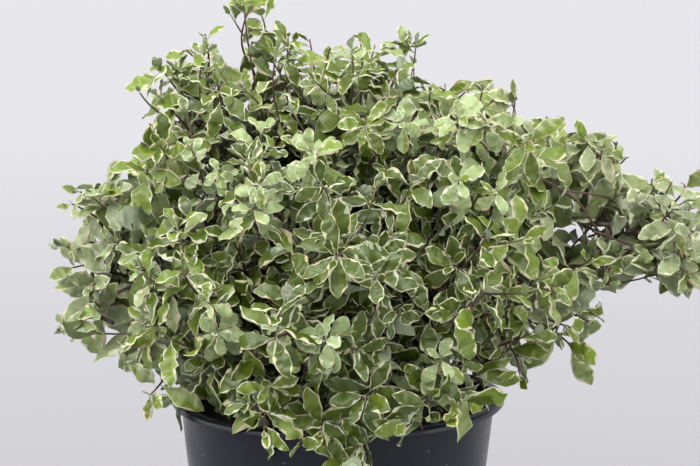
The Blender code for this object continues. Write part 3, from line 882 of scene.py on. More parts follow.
def leaf_specs(paths, shoots, rng):
    """Leaves set in a spiral down each shoot, from a rosette of young ones at its tip."""
    count = len(paths)
    shape = (count, LEAVES_A_SHOOT)
    shoots = {key: value[:, None] for key, value in shoots.items()}
    low, side = shoots["low"], shoots["side"]
    length, down, spread, age = (values[None, :] for values in leaf_ranks())
    run = np.linalg.norm(np.diff(paths, axis=1), axis=2).sum(axis=1)[:, None]
    base, along = along_paths(paths, 1.0 - np.minimum(down * shoots["stretch"] / run, 0.96))
    axes = leaf_axes(base, along, spread, age, shoots, rng)
    newness = np.maximum((1.15 - age) * shoots["fresh"], shoots["flush"])
    newness = newness + rng.normal(0, LEAF_SCATTER["newness"], shape)
    young = np.clip(newness, 0.0, 1.0)
    length = length * shoots["size"] * rng.uniform(0.86, 1.10, shape)
    green_depth_and_painted_light = shoots["green_depth_and_painted_light"] + rng.normal(0, LEAF_SCATTER["green_depth_and_painted_light"], shape)
    draw = {"even": rng.uniform, "bell": rng.normal}
    chance = {key: draw[kind](*ends, shape) for key, (kind, *ends) in LEAF_CHANCE.items()}
    full = {
        **chance,
        "base": base,
        "axes": axes,
        "length": length,
        "width": length * (0.39 + 0.19 * young - 0.04 * low) * chance["width"],
        "young": young,
        "bend": np.radians(-14 + 66 * age * chance["bend"]),
        "fold": np.radians(chance["fold"] - 4 * age),
        "ripple": length * chance["ripple"] * (1 - 0.15 * side) * (0.20 + 0.80 * age),
        "sway": length * chance["sway"] * age,
        "twist": chance["twist"] * (0.3 + 0.7 * age),
        "waves": chance["waves"] * (0.5 + 0.5 * age),
        "edge": chance["edge"] * (1 + 0.5 * side),
        "flames": 0.14 + 0.36 * rng.random(shape) ** 2,
        "scorch": np.where(rng.random(shape) < 0.006, rng.uniform(0.08, 0.22, shape), 0.0),
        **leaf_tones(newness, green_depth_and_painted_light, side, rng),
        "dropped": (rng.random(shape) < shoots["bare"]) & (age > 0.8),
        "shoot": np.repeat(np.arange(count)[:, None], LEAVES_A_SHOOT, axis=1),
        "rank": np.repeat(np.arange(LEAVES_A_SHOOT)[None, :], count, axis=0),
    }
    flat = {key: value.reshape(-1, *value.shape[2:]) for key, value in full.items()}
    return pick(flat, shown_leaves(flat, count))


def shown_leaves(leaves, count):
    """Which leaves stay: not dropped, hiding no open place, and on a shoot that keeps enough."""
    reach = leaves["axes"][:, 0] * leaves["length"][:, None]
    spots = leaves["base"][:, None] + reach[:, None] * LEAF_SPOTS[:, None]
    hidden = in_open(spots, OPEN_BACKDROP)
    hidden |= in_open(spots, OPEN_POT) & (spots[..., 1] < 0.0)
    shown = ~hidden.any(axis=1) & ~leaves["dropped"]
    left = np.bincount(leaves["shoot"], weights=shown, minlength=count)
    return shown & (left >= LEAVES_A_SHOOT * LEAST_SHOWN)[leaves["shoot"]]


@lru_cache(maxsize=1)
def crown_leaves(spacing, seed):
    """The traits of every leaf of the crown."""
    paths, _, traits = crown_shoots(spacing, seed)
    return leaf_specs(paths, traits, np.random.default_rng(seed + 1))


def leaf_tones(newness, green_depth_and_painted_light, side, rng):
    """Greens by age and by how deep the spray's green is, painted light and shade included, with
    an edge, and on some leaves a half of the blade in painted light.
    """
    shape = newness.shape
    greens = np.array([TONE[name] for name in BODY_GREENS])
    # painted light and shade: the green depth carries them, so the step is paler on the crown's
    # sides and top and deeper in its middle
    step = np.floor(green_depth_and_painted_light * 5).astype(int) + 1
    under = np.where(rng.random(shape) < PALE_SHARE, TONE["under_pale"], TONE["under_dull"])
    edge = np.where(rng.random(shape) < WHITE_SHARE, TONE["white_edge"], TONE["cream_edge"])
    blush = rng.random(shape) < BLUSH_SHARE * (1 + side)
    tones = {
        "tone": greens[np.clip(step, 0, 5)],
        # painted light: the paler green for one half of the blade
        "painted_light_half_tone": greens[np.clip(step - 1, 0, 5)],
        "edge_tone": np.where(blush, TONE["blush_edge"], edge),
    }
    for part, changes in YOUNG_TONES.items():
        for least, name in changes:
            tones[part] = np.where(newness > least, TONE[name], tones[part])
    return {**tones, "under_tone": under, "painted_light_half": rng.random(shape) < PAINTED_LIGHT_HALF_SHARE}


def leaf_outline(rows, young):
    """Half-width along a leaf: a narrow stalk, then an oval whose widest part is past its middle.

    The stalk takes the first tenth. Past it the half-width is sin(pi * t ** p) ** q. A young
    leaf has a larger p and a smaller q, so its base tapers and its tip is round.
    """
    s = np.linspace(0.0, 1.0, rows + 1)[1:-1]
    s = 0.6 * s + 0.4 * (0.5 - 0.5 * np.cos(np.pi * s))
    t = np.clip((s - 0.09) / 0.91, 0.0, 1.0)
    power = 1.18 + 0.52 * young[:, None]
    width = np.sin(np.pi * t[None, :] ** power) ** (0.80 - 0.28 * young[:, None])
    return s, np.maximum(width, 0.055)


def edge_line(leaf, width, rng):
    """The inner line of the cream edge: ragged, with now and then a flame towards the midrib.

    It is the share of the half-width that the edge leaves to the green.
    """
    shape = (*width.shape, 2)
    margin = leaf["edge"] * rng.uniform(0.45, 1.55, shape)
    line = np.clip(1 - margin / width[..., None], 0.35, 0.965)
    flame = rng.random(shape) < leaf["flames"]
    return np.where(flame, line * rng.uniform(0.50, 0.90, shape), line)


def leaf_batch(leaves, rows, rng):
    """Points, quads, fans, rim and the two kinds of faces' slots of a batch of closed blades.

    Across, a blade has two margins, the inner lines of its cream edge and its midrib. Its
    underside has one line along the middle and shares the margins. At a share a of the way from
    midrib to margin, the blade is raised by a times its fold, ripple and sway, and by a bulge of
    4 a (1 - a). The ripple is a sine along the margin, the sway a slower one. The margins are
    jagged by chance. The midrib bends back on a circle and the blade twists about it.
    """
    leaf = {key: value[:, None, None] for key, value in leaves.items() if value.ndim == 1}
    s, half = leaf_outline(rows, leaves["young"])
    count, levels = half.shape
    width = half * leaves["width"][:, None] / 2
    edge = edge_line(leaf, width, rng)
    one = np.ones((count, levels))
    across = np.stack([-one, -edge[..., 0], 0 * one, edge[..., 1], one], axis=2)
    columns = across.shape[2]
    part, width = np.abs(across), width[..., None]
    phase = leaf["phase"] + np.sign(across) * leaf["skew"]
    turn = 2 * np.pi * leaf["waves"] * s[None, :, None] + phase
    jag = part * (part > 0.99) * rng.uniform(-1.0, 1.0, part.shape)
    wave = leaf["ripple"] * np.sin(turn) + leaf["sway"] * np.sin(0.31 * turn + phase)
    wave = wave + 0.45 * leaf["ripple"] * jag[..., ::-1]
    y = across * width * (1.0 + 0.05 * np.cos(turn) * part**2) * (1.0 + LEAF_JAG * jag)
    room = np.minimum(1.0, 1.6 * half[..., None])
    rise = np.tan(leaf["fold"]) * width + wave * room
    lift = part * (rise + leaf["bulge"] * width * 4 * (1 - part))
    lift = lift + y * leaf["twist"] * (s[None, :, None] - 0.3)
    veer = leaf["veer"] * leaf["length"]
    middle = veer * (s**2)[None, :, None]
    blade = [
        placed(leaves, s, y + middle, lift),
        placed(leaves, s, middle, np.full((count, levels, 1), -BLADE_DEPTH)),
        placed(leaves, np.array([0.0, 1.0]), veer * [[[0.0], [1.0]]], np.zeros((count, 2, 1))),
    ]
    points = np.concatenate([block.reshape(count, -1, 3) for block in blade], axis=1)
    rim = np.zeros(points.shape[1], dtype=bool)
    rim[: levels * columns].reshape(levels, columns)[:, [0, -1]] = True
    rim[-2:] = True
    quads, fans, quad_slots, fan_slots = leaf_faces(leaves, levels, columns, points.shape[1])
    return points, quads, fans, np.tile(rim, count), quad_slots, fan_slots


def placed(leaves, s, y, lift):
    """Points at shares s along the blade, y across it and raised by lift square to its midrib.

    The midrib bends back on a circle: at share s it has turned by its bend times s, so it has
    come length * sin(bend s) / bend forward and length * (1 - cos(bend s)) / bend down.
    """
    length = leaves["length"][:, None]
    bend = leaves["bend"][:, None]
    bend = np.where(np.abs(bend) < 1e-4, 1e-4, bend)
    turned = bend * s[None, :]
    x = length * np.sin(turned) / bend
    z = -length * (1 - np.cos(turned)) / bend
    along = x[..., None] + lift * np.sin(turned)[..., None]
    up = z[..., None] + lift * np.cos(turned)[..., None]
    axes = leaves["axes"][:, None, None]
    moves = (part[..., None] * axes[..., k, :] for k, part in enumerate((along, y, up)))
    return sum(moves, leaves["base"][:, None, None, :])


def leaf_faces(leaves, levels, columns, stride):
    """Quads between rows, and triangles to the two end points, for top and underside."""
    row, column = np.meshgrid(np.arange(levels - 1), np.arange(columns - 1), indexing="ij")
    low = row * columns + column
    top = np.stack([low, low + columns, low + columns + 1, low + 1], axis=-1).reshape(-1, 4)
    base_point, tip_point = stride - 2, stride - 1
    last = (levels - 1) * columns
    spot = np.arange(columns - 1)
    fan_base = np.stack([np.full(columns - 1, base_point), spot, spot + 1], axis=1)
    fan_tip = np.stack([np.full(columns - 1, tip_point), last + spot + 1, last + spot], axis=1)
    rows = np.arange(levels - 1)
    left, right = rows * columns, rows * columns + columns - 1
    mid = levels * columns + rows
    under = np.concatenate([
        np.stack([left, mid, mid + 1, left + columns], axis=1),
        np.stack([mid, right, right + columns, mid + 1], axis=1),
    ])
    mid_first, mid_last = levels * columns, levels * columns + levels - 1
    under_fans = np.array([
        [base_point, mid_first, 0], [base_point, columns - 1, mid_first],
        [tip_point, last, mid_last], [tip_point, mid_last, last + columns - 1],
    ])
    count = len(leaves["base"])
    offsets = (np.arange(count) * stride)[:, None, None]
    quads = np.concatenate([top, under])[:, ::-1] + offsets
    fans = np.concatenate([fan_base, fan_tip, under_fans])[:, ::-1] + offsets
    tones = strip_tones(leaves, levels, columns)
    below = leaves["under_tone"][:, None]
    quad_slots = [tones.reshape(count, -1), np.repeat(below, len(under), axis=1)]
    fan_slots = [tones[:, 0], tones[:, -1], np.repeat(below, len(under_fans), axis=1)]
    slots = [np.concatenate(parts, axis=1).ravel() for parts in (quad_slots, fan_slots)]
    return quads.reshape(-1, 4), fans.reshape(-1, 3), *slots


def strip_tones(leaves, levels, columns):
    """The slot of each top face: the edge's tone outside, the leaf's own greens within, and on
    some leaves painted light, the right half a tone paler or, on young ones, another green.
    """
    body, painted_half_tone, edge, painted_light_half, scorch = (
        leaves[key][:, None, None]
        for key in ("tone", "painted_light_half_tone", "edge_tone", "painted_light_half", "scorch")
    )
    row = np.arange(levels - 1)[None, :, None]
    strip = np.arange(columns - 1)
    outside = (strip == 0) | (strip == columns - 2) | (row == 0)
    # painted light: on some leaves the right half of the blade takes a paler green, or on young
    # ones another green, as light falls on one side of the fold
    tones = np.where(painted_light_half & (strip == PAINTED_LIGHT_STRIP), painted_half_tone, body)
    tones = np.where(outside, edge, tones)
    return np.where(scorch > 1 - row / levels, TONE["brown_tip"], tones)


def leaf_piece(name, leaves, materials, rng):
    """One piece of many leaves, in three batches by how many rows their blades have."""
    front, rank = leaves["front"], leaves["rank"]
    deep = (rank < OPENING_RANKS) | (rank > DEEP_RANK) | (~front & (rank > FAR_DEEP_RANK))
    batches = [
        leaf_batch(pick(leaves, mask), rows, rng)
        for rows, mask in zip(LEAF_ROWS, (front & ~deep, ~front & ~deep, deep)) if mask.any()
    ]
    points, faces = stacked(batches)
    rims, quad_slots, fan_slots = ([batch[k] for batch in batches] for k in (3, 4, 5))
    slots = np.concatenate(quad_slots + fan_slots)
    crinkle = rng.normal(0, LEAF_CRINKLE, points.shape)
    return mesh_piece(name, points, faces, materials, slots, np.concatenate(rims), crinkle)


def mass_sectors():
    """The side of the crown that each mass is on: six round the lower part, four above."""
    centres = np.array([node_points(name).mean(axis=0) for name in MASS_NAMES])
    bearing = np.degrees(np.arctan2(centres[:, 1], centres[:, 0])) % 360
    low = (bearing // 60).astype(int)
    high = 6 + (bearing // 90).astype(int)
    return np.where(centres[:, 2] > UPPER_HEIGHT, high, low)


class PittosporumCrown(bpy.types.PropertyGroup):
    """How densely the crown is set with shoots"""

    spacing: FloatProperty(
        name="Shoot spacing",
        description="Least distance between the tips of two shoots",
        default=0.031, min=0.02, max=0.08, unit="LENGTH", subtype="DISTANCE",
    )
    seed: IntProperty(
        name="Seed", description="Starts the crown's random choices", default=11, min=0
    )
    bark: FloatVectorProperty(
        name="Bark", description="Colour of the darker bark", default=(0.050, 0.030, 0.026),
        min=0.0, max=1.0, size=3, subtype="COLOR",
    )
    shoot_radius: FloatProperty(
        name="Shoot radius",
        description="Radius of a leafy shoot where it leaves its branch",
        default=0.00115, min=0.0005, max=0.003, unit="LENGTH", subtype="DISTANCE",
    )


class PITTOSPORUM_OT_leaves(bpy.types.Operator):
    """Grow the leaves of every shoot over the foliage masses"""

    bl_idname = "pittosporum.leaves"
    bl_label = "Grow leaves"
    bl_options = {"UNDO"}

    def execute(self, context):
        crown = context.scene.pittosporum_crown
        rng = np.random.default_rng(crown.seed + 5)
        paths, masses, _ = crown_shoots(crown.spacing, crown.seed)
        leaves = dict(crown_leaves(crown.spacing, crown.seed))
        front = unit(paths[:, -1] - CROWN_MIDDLE) @ SIGHT < FRONT_LIMIT
        leaves["front"] = front[leaves["shoot"]]
        sectors = mass_sectors()
        materials = [plain_material(*tone, gloss=LEAF_GLOSS) for tone in LEAF_TONES]
        for sector in np.unique(sectors):
            mine = pick(leaves, sectors[masses][leaves["shoot"]] == sector)
            piece = leaf_piece(f"leaves_{sector + 1}", mine, materials, rng)
            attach(piece, "root")
            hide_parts(*[n for n, s in zip(MASS_NAMES, sectors) if s == sector])
        return {"FINISHED"}


# ---- limbs and twigs ----

# Slices of a limb's node, sides of its tube, the most leaf scars on it and the metres between
# them, and how wide a scar's ring is
LIMB_SLICES = 8
LIMB_SIDES = 20
SCARS, SCAR_GAP, SCAR_WIDTH = 40, (0.006, 0.011), 0.0011
# Metres between the rings of the stem and of the boughs
STEM_STEP, BOUGH_STEP = 0.0011, 0.0016
# Shoots to a branch, the share of the way to their feet that it covers, its points, and the
# first of them that another may leave from
SHOOTS_A_BRANCH = 5
BRANCH_REACH = 0.72
BRANCH_POINTS, FIRST_FORK = 9, 3
# How much a sharp turn adds to the cost of a fork
TURN_COST = 1.1
# Points from a fork to a shoot's foot, and the sides of branches and of shoots
LEAD_POINTS = 6
BRANCH_SIDES, SHOOT_SIDES = 8, 6
# A branch is the number of its shoots to this power, and at most so many times, as thick as one
LOAD_POWER, MOST_THICK = 0.22, 2.0
# Branches with more shoots than this have old wood
OLD_LOAD = 7


def limb_line(name, foot):
    """A limb's middle points and radii, from its node, in order from the end nearer the foot.

    The node's points are sorted into equal slices along its longest direction. A slice's middle
    is the mean of its points, and its radius is their mean distance from it.
    """
    points = node_points(name)
    middle = points.mean(axis=0)
    way = np.linalg.svd(points - middle)[2][0]
    if (foot - middle) @ way > 0:
        way = -way
    along = (points - middle) @ way
    cuts = np.linspace(along.min(), along.max() + 1e-9, LIMB_SLICES + 1)
    which = np.digitize(along, cuts) - 1
    centres, radii = [], []
    for number in range(LIMB_SLICES):
        mine = points[which == number]
        if len(mine) < 3:
            continue
        centres.append(mine.mean(axis=0))
        gap = mine - centres[-1]
        radii.append(np.linalg.norm(gap - np.outer(gap @ way, way), axis=1).mean())
    start = points[along < along.min() + 0.001].mean(axis=0)
    end = points[along > along.max() - 0.001].mean(axis=0)
    return np.array([start, *centres[1:-1], end]), np.array(radii)


def bark_limb(line, radii, rng):
    """A limb's tube with relief on its radius: wandering ridges, leaf scars and fine grain.

    Round the limb at angle u and at v metres along it, the radius grows by a share of
    0.05 cos(5 u + wander(v)) + 0.03 cos(9 u - 1.7 wander(v)) for the ridges, up to 0.10 in
    narrow rings every 6 to 11 mm for the scars, and 0.025 of random grain.
    """
    steps = len(line)
    u = np.linspace(0, 2 * np.pi, LIMB_SIDES, endpoint=False)[None, :]
    wander = np.cumsum(rng.normal(0, 0.25, steps))[:, None]
    ridges = 0.05 * np.cos(5 * u + wander) + 0.03 * np.cos(9 * u - 1.7 * wander)
    places = np.cumsum(rng.uniform(*SCAR_GAP, SCARS))
    facing = rng.uniform(0, 2 * np.pi, SCARS)
    gap = line_run(line)[:, None, None] - places
    around = 0.5 + 0.5 * np.cos(u[..., None] - facing)
    scars = (0.10 * np.exp(-((gap / SCAR_WIDTH) ** 2)) * around).sum(axis=2)
    grain = rng.normal(0, 0.025, (steps, LIMB_SIDES))
    width = radii[:, None] * (1 + ridges + scars + grain)
    return tube_batch(line[None], width[None], LIMB_SIDES)


def spread_group(points, count):
    """Group points round the ones that lie farthest from each other."""
    chosen = [int(np.argmax(points[:, 2]))]
    nearest = np.linalg.norm(points - points[chosen[0]], axis=1)
    while len(chosen) < count:
        chosen.append(int(np.argmax(nearest)))
        nearest = np.minimum(nearest, np.linalg.norm(points - points[chosen[-1]], axis=1))
    gaps = np.linalg.norm(points[:, None] - points[chosen][None], axis=2)
    return np.argmin(gaps, axis=1)


def best_fork(place, grown, ways):
    """The grown point that a new stretch to the place leaves from at least cost.

    The cost is the distance, plus that distance times the sharpness of the turn.
    """
    gap = place - grown
    distance = np.linalg.norm(gap, axis=1) + 1e-9
    turn = 1 - np.sum(gap * ways, axis=1) / distance
    return int(np.argmin(distance * (1 + TURN_COST * turn)))


def grow_branches(limbs, paths):
    """Each shoot's group, of about five, and the branches that run from the limbs to the groups.

    A group's branch ends part of the way from the nearest limb to the middle of its shoots'
    feet. Branches grow in order of their distance from the limbs, each from the best fork on the
    outer halves of the limbs and on the branches so far. A branch comes with its parent's number,
    or -1 on a limb.
    """
    feet = paths[:, 0]
    group = spread_group(feet, max(1, len(feet) // SHOOTS_A_BRANCH))
    grown = np.concatenate([line[len(line) // 2:] for line, _ in limbs])
    ways = np.concatenate([unit(np.gradient(line, axis=0))[len(line) // 2:] for line, _ in limbs])
    owner = np.full(len(grown), -1)
    middles = np.array([feet[group == g].mean(axis=0) for g in range(group.max() + 1)])
    gaps = np.linalg.norm(middles[:, None] - grown[None], axis=2)
    nearest = grown[np.argmin(gaps, axis=1)]
    ends = nearest + BRANCH_REACH * (middles - nearest)
    branches = {}
    for g in np.argsort(gaps.min(axis=1)):
        fork = best_fork(ends[g], grown, ways)
        arrive = unit(middles[g] - ends[g])
        line = curve_between(
            grown[fork][None], ways[fork][None], ends[g][None], arrive[None], BRANCH_POINTS
        )[0]
        branches[g] = (line, owner[fork])
        grown = np.concatenate([grown, line[FIRST_FORK:]])
        ways = np.concatenate([ways, unit(np.gradient(line, axis=0))[FIRST_FORK:]])
        owner = np.concatenate([owner, np.full(len(line) - FIRST_FORK, g)])
    return group, branches


def branch_loads(group, branches):
    """How many shoots each branch carries, with those of the branches that fork off it."""
    load = {g: int((group == g).sum()) for g in branches}
    for g in reversed(list(branches)):
        parent = branches[g][1]
        if parent >= 0:
            load[parent] += load[g]
    return load


def twig_paths(group, branches, paths):
    """Each shoot's whole line: from its fork on its branch, by its foot, to its tip."""
    starts, ways = np.empty((2, len(paths), 3))
    for g, (line, _) in branches.items():
        points = line[FIRST_FORK + 1:]
        directions = unit(np.gradient(line, axis=0))[FIRST_FORK + 1:]
        for shoot in np.flatnonzero(group == g):
            fork = best_fork(paths[shoot, 0], points, directions)
            starts[shoot], ways[shoot] = points[fork], directions[fork]
    arrive = unit(paths[:, 1] - paths[:, 0])
    lead = curve_between(starts, ways, paths[:, 0], arrive, LEAD_POINTS)
    return np.concatenate([lead[:, :-1], paths], axis=1)


@lru_cache(maxsize=1)
def limb_lines():
    """The stem's line and those of the boughs and spray stems, from the foot outwards."""
    foot = node_points("stem").min(axis=0)
    stem = limb_line("stem", np.array([0.0, 0.0, foot[2]]))
    fork = stem[0][-1]
    return stem, [limb_line(name, fork) for name in BOUGH_NAMES + SPRAY_STEM_NAMES]


def joined_tubes(name, batches, materials, slots=None):
    """One piece from batches of tubes, with the first material for all unless slots are given."""
    points, faces = stacked(batches)
    if slots is None:
        slots = np.zeros(sum(map(len, faces)))
    return mesh_piece(name, points, faces, materials, slots)


def ring_tones(tones, sides):
    """The slots of a batch of tubes, its quads then its end fans, from a tone for each ring."""
    quads = np.repeat(tones[:, :-1], sides, axis=1).ravel()
    fans = np.repeat(np.stack([tones[:, 0], tones[:, -1]], axis=1), sides, axis=1).ravel()
    return quads, fans


class PITTOSPORUM_OT_limbs(bpy.types.Operator):
    """Replace the stem and the boughs by limbs with bark relief"""

    bl_idname = "pittosporum.limbs"
    bl_label = "Make limbs"
    bl_options = {"UNDO"}

    def execute(self, context):
        rng = np.random.default_rng(context.scene.pittosporum_crown.seed + 2)
        bark = bark_material(tuple(context.scene.pittosporum_crown.bark))
        stem, others = limb_lines()
        tubes = [bark_limb(*smooth_line(*stem, STEM_STEP), rng)]
        piece = joined_tubes("stem_bark", tubes, [bark])
        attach(piece, "root")
        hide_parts("stem")
        tubes = [bark_limb(*smooth_line(*limb, BOUGH_STEP), rng) for limb in others]
        piece = joined_tubes("bough_bark", tubes, [bark])
        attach(piece, "root")
        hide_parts(*BOUGH_NAMES, *SPRAY_STEM_NAMES)
        return {"FINISHED"}


class PITTOSPORUM_OT_twigs(bpy.types.Operator):
    """Grow branches on from the limbs and join every shoot to one"""

    bl_idname = "pittosporum.twigs"
    bl_label = "Grow twigs"
    bl_options = {"UNDO"}

    def execute(self, context):
        crown = context.scene.pittosporum_crown
        paths, _, _ = crown_shoots(crown.spacing, crown.seed)
        paths = paths[np.unique(crown_leaves(crown.spacing, crown.seed)["shoot"])]
        group, branches = grow_branches(limb_lines()[1], paths)
        loads = branch_loads(group, branches)
        lines = np.array([line for line, _ in branches.values()])
        carried = np.array([loads[g] for g in branches], dtype=float)
        thick = np.minimum(carried**LOAD_POWER, MOST_THICK)[:, None]
        radii = crown.shoot_radius * thick * np.linspace(1.0, 0.72, BRANCH_POINTS)
        shoots = twig_paths(group, branches, paths)
        count, steps, _ = shoots.shape
        shoot_radii = crown.shoot_radius * np.linspace(1.0, 0.55, steps) * np.ones((count, 1))
        tubes = [
            tube_batch(lines, radii, BRANCH_SIDES), tube_batch(shoots, shoot_radii, SHOOT_SIDES)
        ]
        rng = np.random.default_rng(crown.seed + 4)
        wood = np.where(carried[:, None] > OLD_LOAD, 0, 1) * np.ones(BRANCH_POINTS)
        age = np.linspace(0.8, 2.6, steps)[None, :] + rng.normal(0, 0.35, (count, 1))
        age = np.clip(np.round(age), 1, 3)
        tones = zip(ring_tones(wood, BRANCH_SIDES), ring_tones(age, SHOOT_SIDES))
        slots = np.concatenate([part for pair in tones for part in pair])
        materials = [plain_material(*tone) for tone in TWIG_TONES]
        piece = joined_tubes("twigs", tubes, materials, slots)
        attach(piece, "root")
        return {"FINISHED"}


# ---- pot and soil ----

# Points round the pot and the compost, and the most of the short side of a corner that its arc
# takes
POT_SIDES, COMPOST_SIDES = 160, 144
CORNER_SHARE = 0.45
# Clods on the compost: how many, their radii, and how far they may sink or rise in all
CLODS, CLOD_RADIUS, CLOD_LIMITS = 420, (0.0016, 0.0065), (-0.004, 0.0035)
COMPOST_RINGS = 58
# Metres from the drill's foot to its head, and its sides
DRILL_HEIGHTS, DRILL_SIDES = (-0.004, 0.008), 24


def pot_outer_radius(height):
    """The pot's wall leans out evenly from its base to its collar."""
    return BASE_RADIUS + (TOP_RADIUS - BASE_RADIUS) * height / POT_HEIGHT


def rounded(corners, fillet, steps=4, longest=0.008):
    """An outline whose inner corners are arcs that start and end a fillet away from them.

    An arc is the quadratic curve from its start by its corner to its end. Straight stretches are
    cut into steps no longer than the longest. The fillet is less where a side is short.
    """
    corners = np.array(corners)
    t = np.linspace(0, 1, steps)[:, None]
    parts = [corners[:1]]
    for before, corner, after in zip(corners, corners[1:], corners[2:]):
        sides = [np.linalg.norm(corner - other) for other in (before, after)]
        reach = min(fillet, CORNER_SHARE * min(sides))
        start = corner + reach * unit(before - corner)
        parts.append(arc(t, start, corner, corner + reach * unit(after - corner)))
    line = np.concatenate([*parts, corners[-1:]])
    gaps = np.linalg.norm(np.diff(line, axis=0), axis=1)
    cuts = np.maximum(1, np.ceil(gaps / longest).astype(int))
    pieces = [
        start + (end - start) * np.arange(cut)[:, None] / cut
        for start, end, cut in zip(line, line[1:], cuts)
    ]
    return np.concatenate([*pieces, line[-1:]])


def turned_piece(name, outline, sides, shift, material):
    """A closed shape turned about Z from an outline that starts and ends on the axis.

    The outline runs from the middle of the underside up its outer side. Shift takes the angle
    and the outline's radius and height and gives the radial and upward moves of each point.
    """
    turn = np.linspace(0, 2 * np.pi, sides, endpoint=False)[None, :]
    radius, height = outline[1:-1, :1], outline[1:-1, 1:]
    out, up = shift(turn, radius, height)
    points = np.stack([
        (radius + out) * np.cos(turn), (radius + out) * np.sin(turn), height + up + 0 * turn
    ], axis=-1)
    rings = len(radius)
    centre_up = shift(turn, outline[-1:, :1], outline[-1:, 1:])[1].mean()
    poles = np.array([[0, 0, outline[0, 1]], [0, 0, outline[-1, 1] + centre_up]])
    points = np.concatenate([points.reshape(-1, 3), poles])
    faces = [ring_faces(rings, sides), end_fans(rings, sides)]
    return mesh_piece(name, points, faces, [material], np.zeros(sum(map(len, faces))))


def pot_outline():
    """Half of the pot's section: base, wall, rolled collar, lip, inner wall and floor."""
    roof = POT_HEIGHT - COLLAR_WALL
    foot = POT_HEIGHT - COLLAR_HEIGHT
    inner_top = TOP_RADIUS - POT_WALL
    return rounded([
        (0.0, 0.0),
        (BASE_RADIUS - FOOT_INSET, 0.0),
        (pot_outer_radius(roof) + 0.0002, roof),
        (RIM_RADIUS - COLLAR_WALL - COLLAR_DRAFT, roof),
        (RIM_RADIUS - COLLAR_WALL, foot),
        (RIM_RADIUS, foot),
        (RIM_RADIUS - COLLAR_DRAFT, POT_HEIGHT),
        (inner_top, POT_HEIGHT),
        (pot_outer_radius(POT_FLOOR) - POT_WALL, POT_FLOOR),
        (0.0, POT_FLOOR),
    ], CORNER_FILLET, steps=6)


def pot_shift(wave):
    """The lip waves: three and seven times round outwards, twice and five times round upwards."""
    def shift(turn, radius, height):
        share = np.clip((height - 0.75 * POT_HEIGHT) / (0.25 * POT_HEIGHT), 0, 1) ** 2
        outward = wave * share * (0.6 * np.sin(3 * turn + 1.0) + 0.4 * np.sin(7 * turn))
        upward = -wave * share * (0.5 + 0.3 * np.sin(2 * turn + 2.0) + 0.2 * np.sin(5 * turn))
        return outward - 0.6 * wave * share, upward
    return shift


def drill(pot):
    """Cut the drain holes through the pot's floor, one round rod for all of them joined."""
    bearings = DRAIN_TURN + np.arange(DRAIN_HOLES) * 2 * np.pi / DRAIN_HOLES
    x, y = DRAIN_RING_RADIUS * np.cos(bearings), DRAIN_RING_RADIUS * np.sin(bearings)
    ends = [np.stack([x, y, np.full(DRAIN_HOLES, z)], axis=1) for z in DRILL_HEIGHTS]
    rods = np.linspace(*ends, 3, axis=1)
    tubes = tube_batch(rods, np.full(rods.shape[:2], DRAIN_RADIUS), DRILL_SIDES)
    cutter = joined_tubes("drill", [tubes], [pot.data.materials[0]])
    cut = pot.modifiers.new("drain_holes", "BOOLEAN")
    cut.operation = "DIFFERENCE"
    cut.solver = "EXACT"
    cut.object = cutter
    bpy.context.view_layer.objects.active = pot
    bpy.ops.object.modifier_apply(modifier=cut.name)
    bpy.data.objects.remove(cutter, do_unlink=True)


def compost_outline():
    """Half of the compost's section: underside, side and a top of many rings."""
    foot = POT_FLOOR + 0.0003
    gap = POT_WALL + 0.0006
    rim = pot_outer_radius(SOIL_TOP) - gap
    corners = [(0.0, foot), (pot_outer_radius(foot) - gap, foot), (rim, SOIL_TOP - 0.003)]
    top = np.linspace(rim - 0.0005, 0.0, COMPOST_RINGS)
    flat = np.stack([top, np.full(COMPOST_RINGS, SOIL_TOP - 0.002)], axis=1)
    return np.concatenate([rounded(corners, 0.002)[:-1], flat])


def compost_shift(relief, rng):
    """Clods on the top: each is a bell of its own radius and height, and they add up."""
    bearing, reach = rng.uniform(0, 2 * np.pi, CLODS), TOP_RADIUS * np.sqrt(rng.random(CLODS))
    size, height = rng.uniform(*CLOD_RADIUS, CLODS), relief * rng.uniform(-0.5, 1.0, CLODS)

    def shift(turn, radius, z):
        gap_x = (radius * np.cos(turn))[..., None] - reach * np.cos(bearing)
        gap_y = (radius * np.sin(turn))[..., None] - reach * np.sin(bearing)
        clods = (height * np.exp(-(gap_x**2 + gap_y**2) / size**2)).sum(axis=-1)
        on_top = z > SOIL_TOP - 0.0025
        return np.zeros_like(clods), np.where(on_top, np.clip(clods, *CLOD_LIMITS), 0.0)
    return shift


class PittosporumPot(bpy.types.PropertyGroup):
    """The pot's plastic and the compost in it"""

    plastic: FloatVectorProperty(
        name="Plastic", description="Colour of the pot's plastic",
        default=(0.0065, 0.0080, 0.0135), min=0.0, max=1.0, size=3, subtype="COLOR",
    )
    dust: FloatProperty(
        name="Dust", description="Share of the places where a speck may lie that have one",
        default=0.05, min=0.0, max=1.0, subtype="FACTOR",
    )
    wave: FloatProperty(
        name="Lip wave", description="How far the lip wanders from a true circle",
        default=0.0014, min=0.0, max=0.003, unit="LENGTH", subtype="DISTANCE",
    )
    relief: FloatProperty(
        name="Compost relief", description="Height of the largest clods of compost",
        default=0.0030, min=0.0, max=0.01, unit="LENGTH", subtype="DISTANCE",
    )


class PITTOSPORUM_OT_pot(bpy.types.Operator):
    """Turn the pot with its rolled collar, wavy lip and drain holes"""

    bl_idname = "pittosporum.pot"
    bl_label = "Make pot"
    bl_options = {"UNDO"}

    def execute(self, context):
        look = context.scene.pittosporum_pot
        material = plastic_material(tuple(look.plastic), look.dust)
        shift = pot_shift(look.wave)
        piece = turned_piece("pot_shell", pot_outline(), POT_SIDES, shift, material)
        drill(piece)
        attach(piece, "root")
        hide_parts("pot")
        return {"FINISHED"}


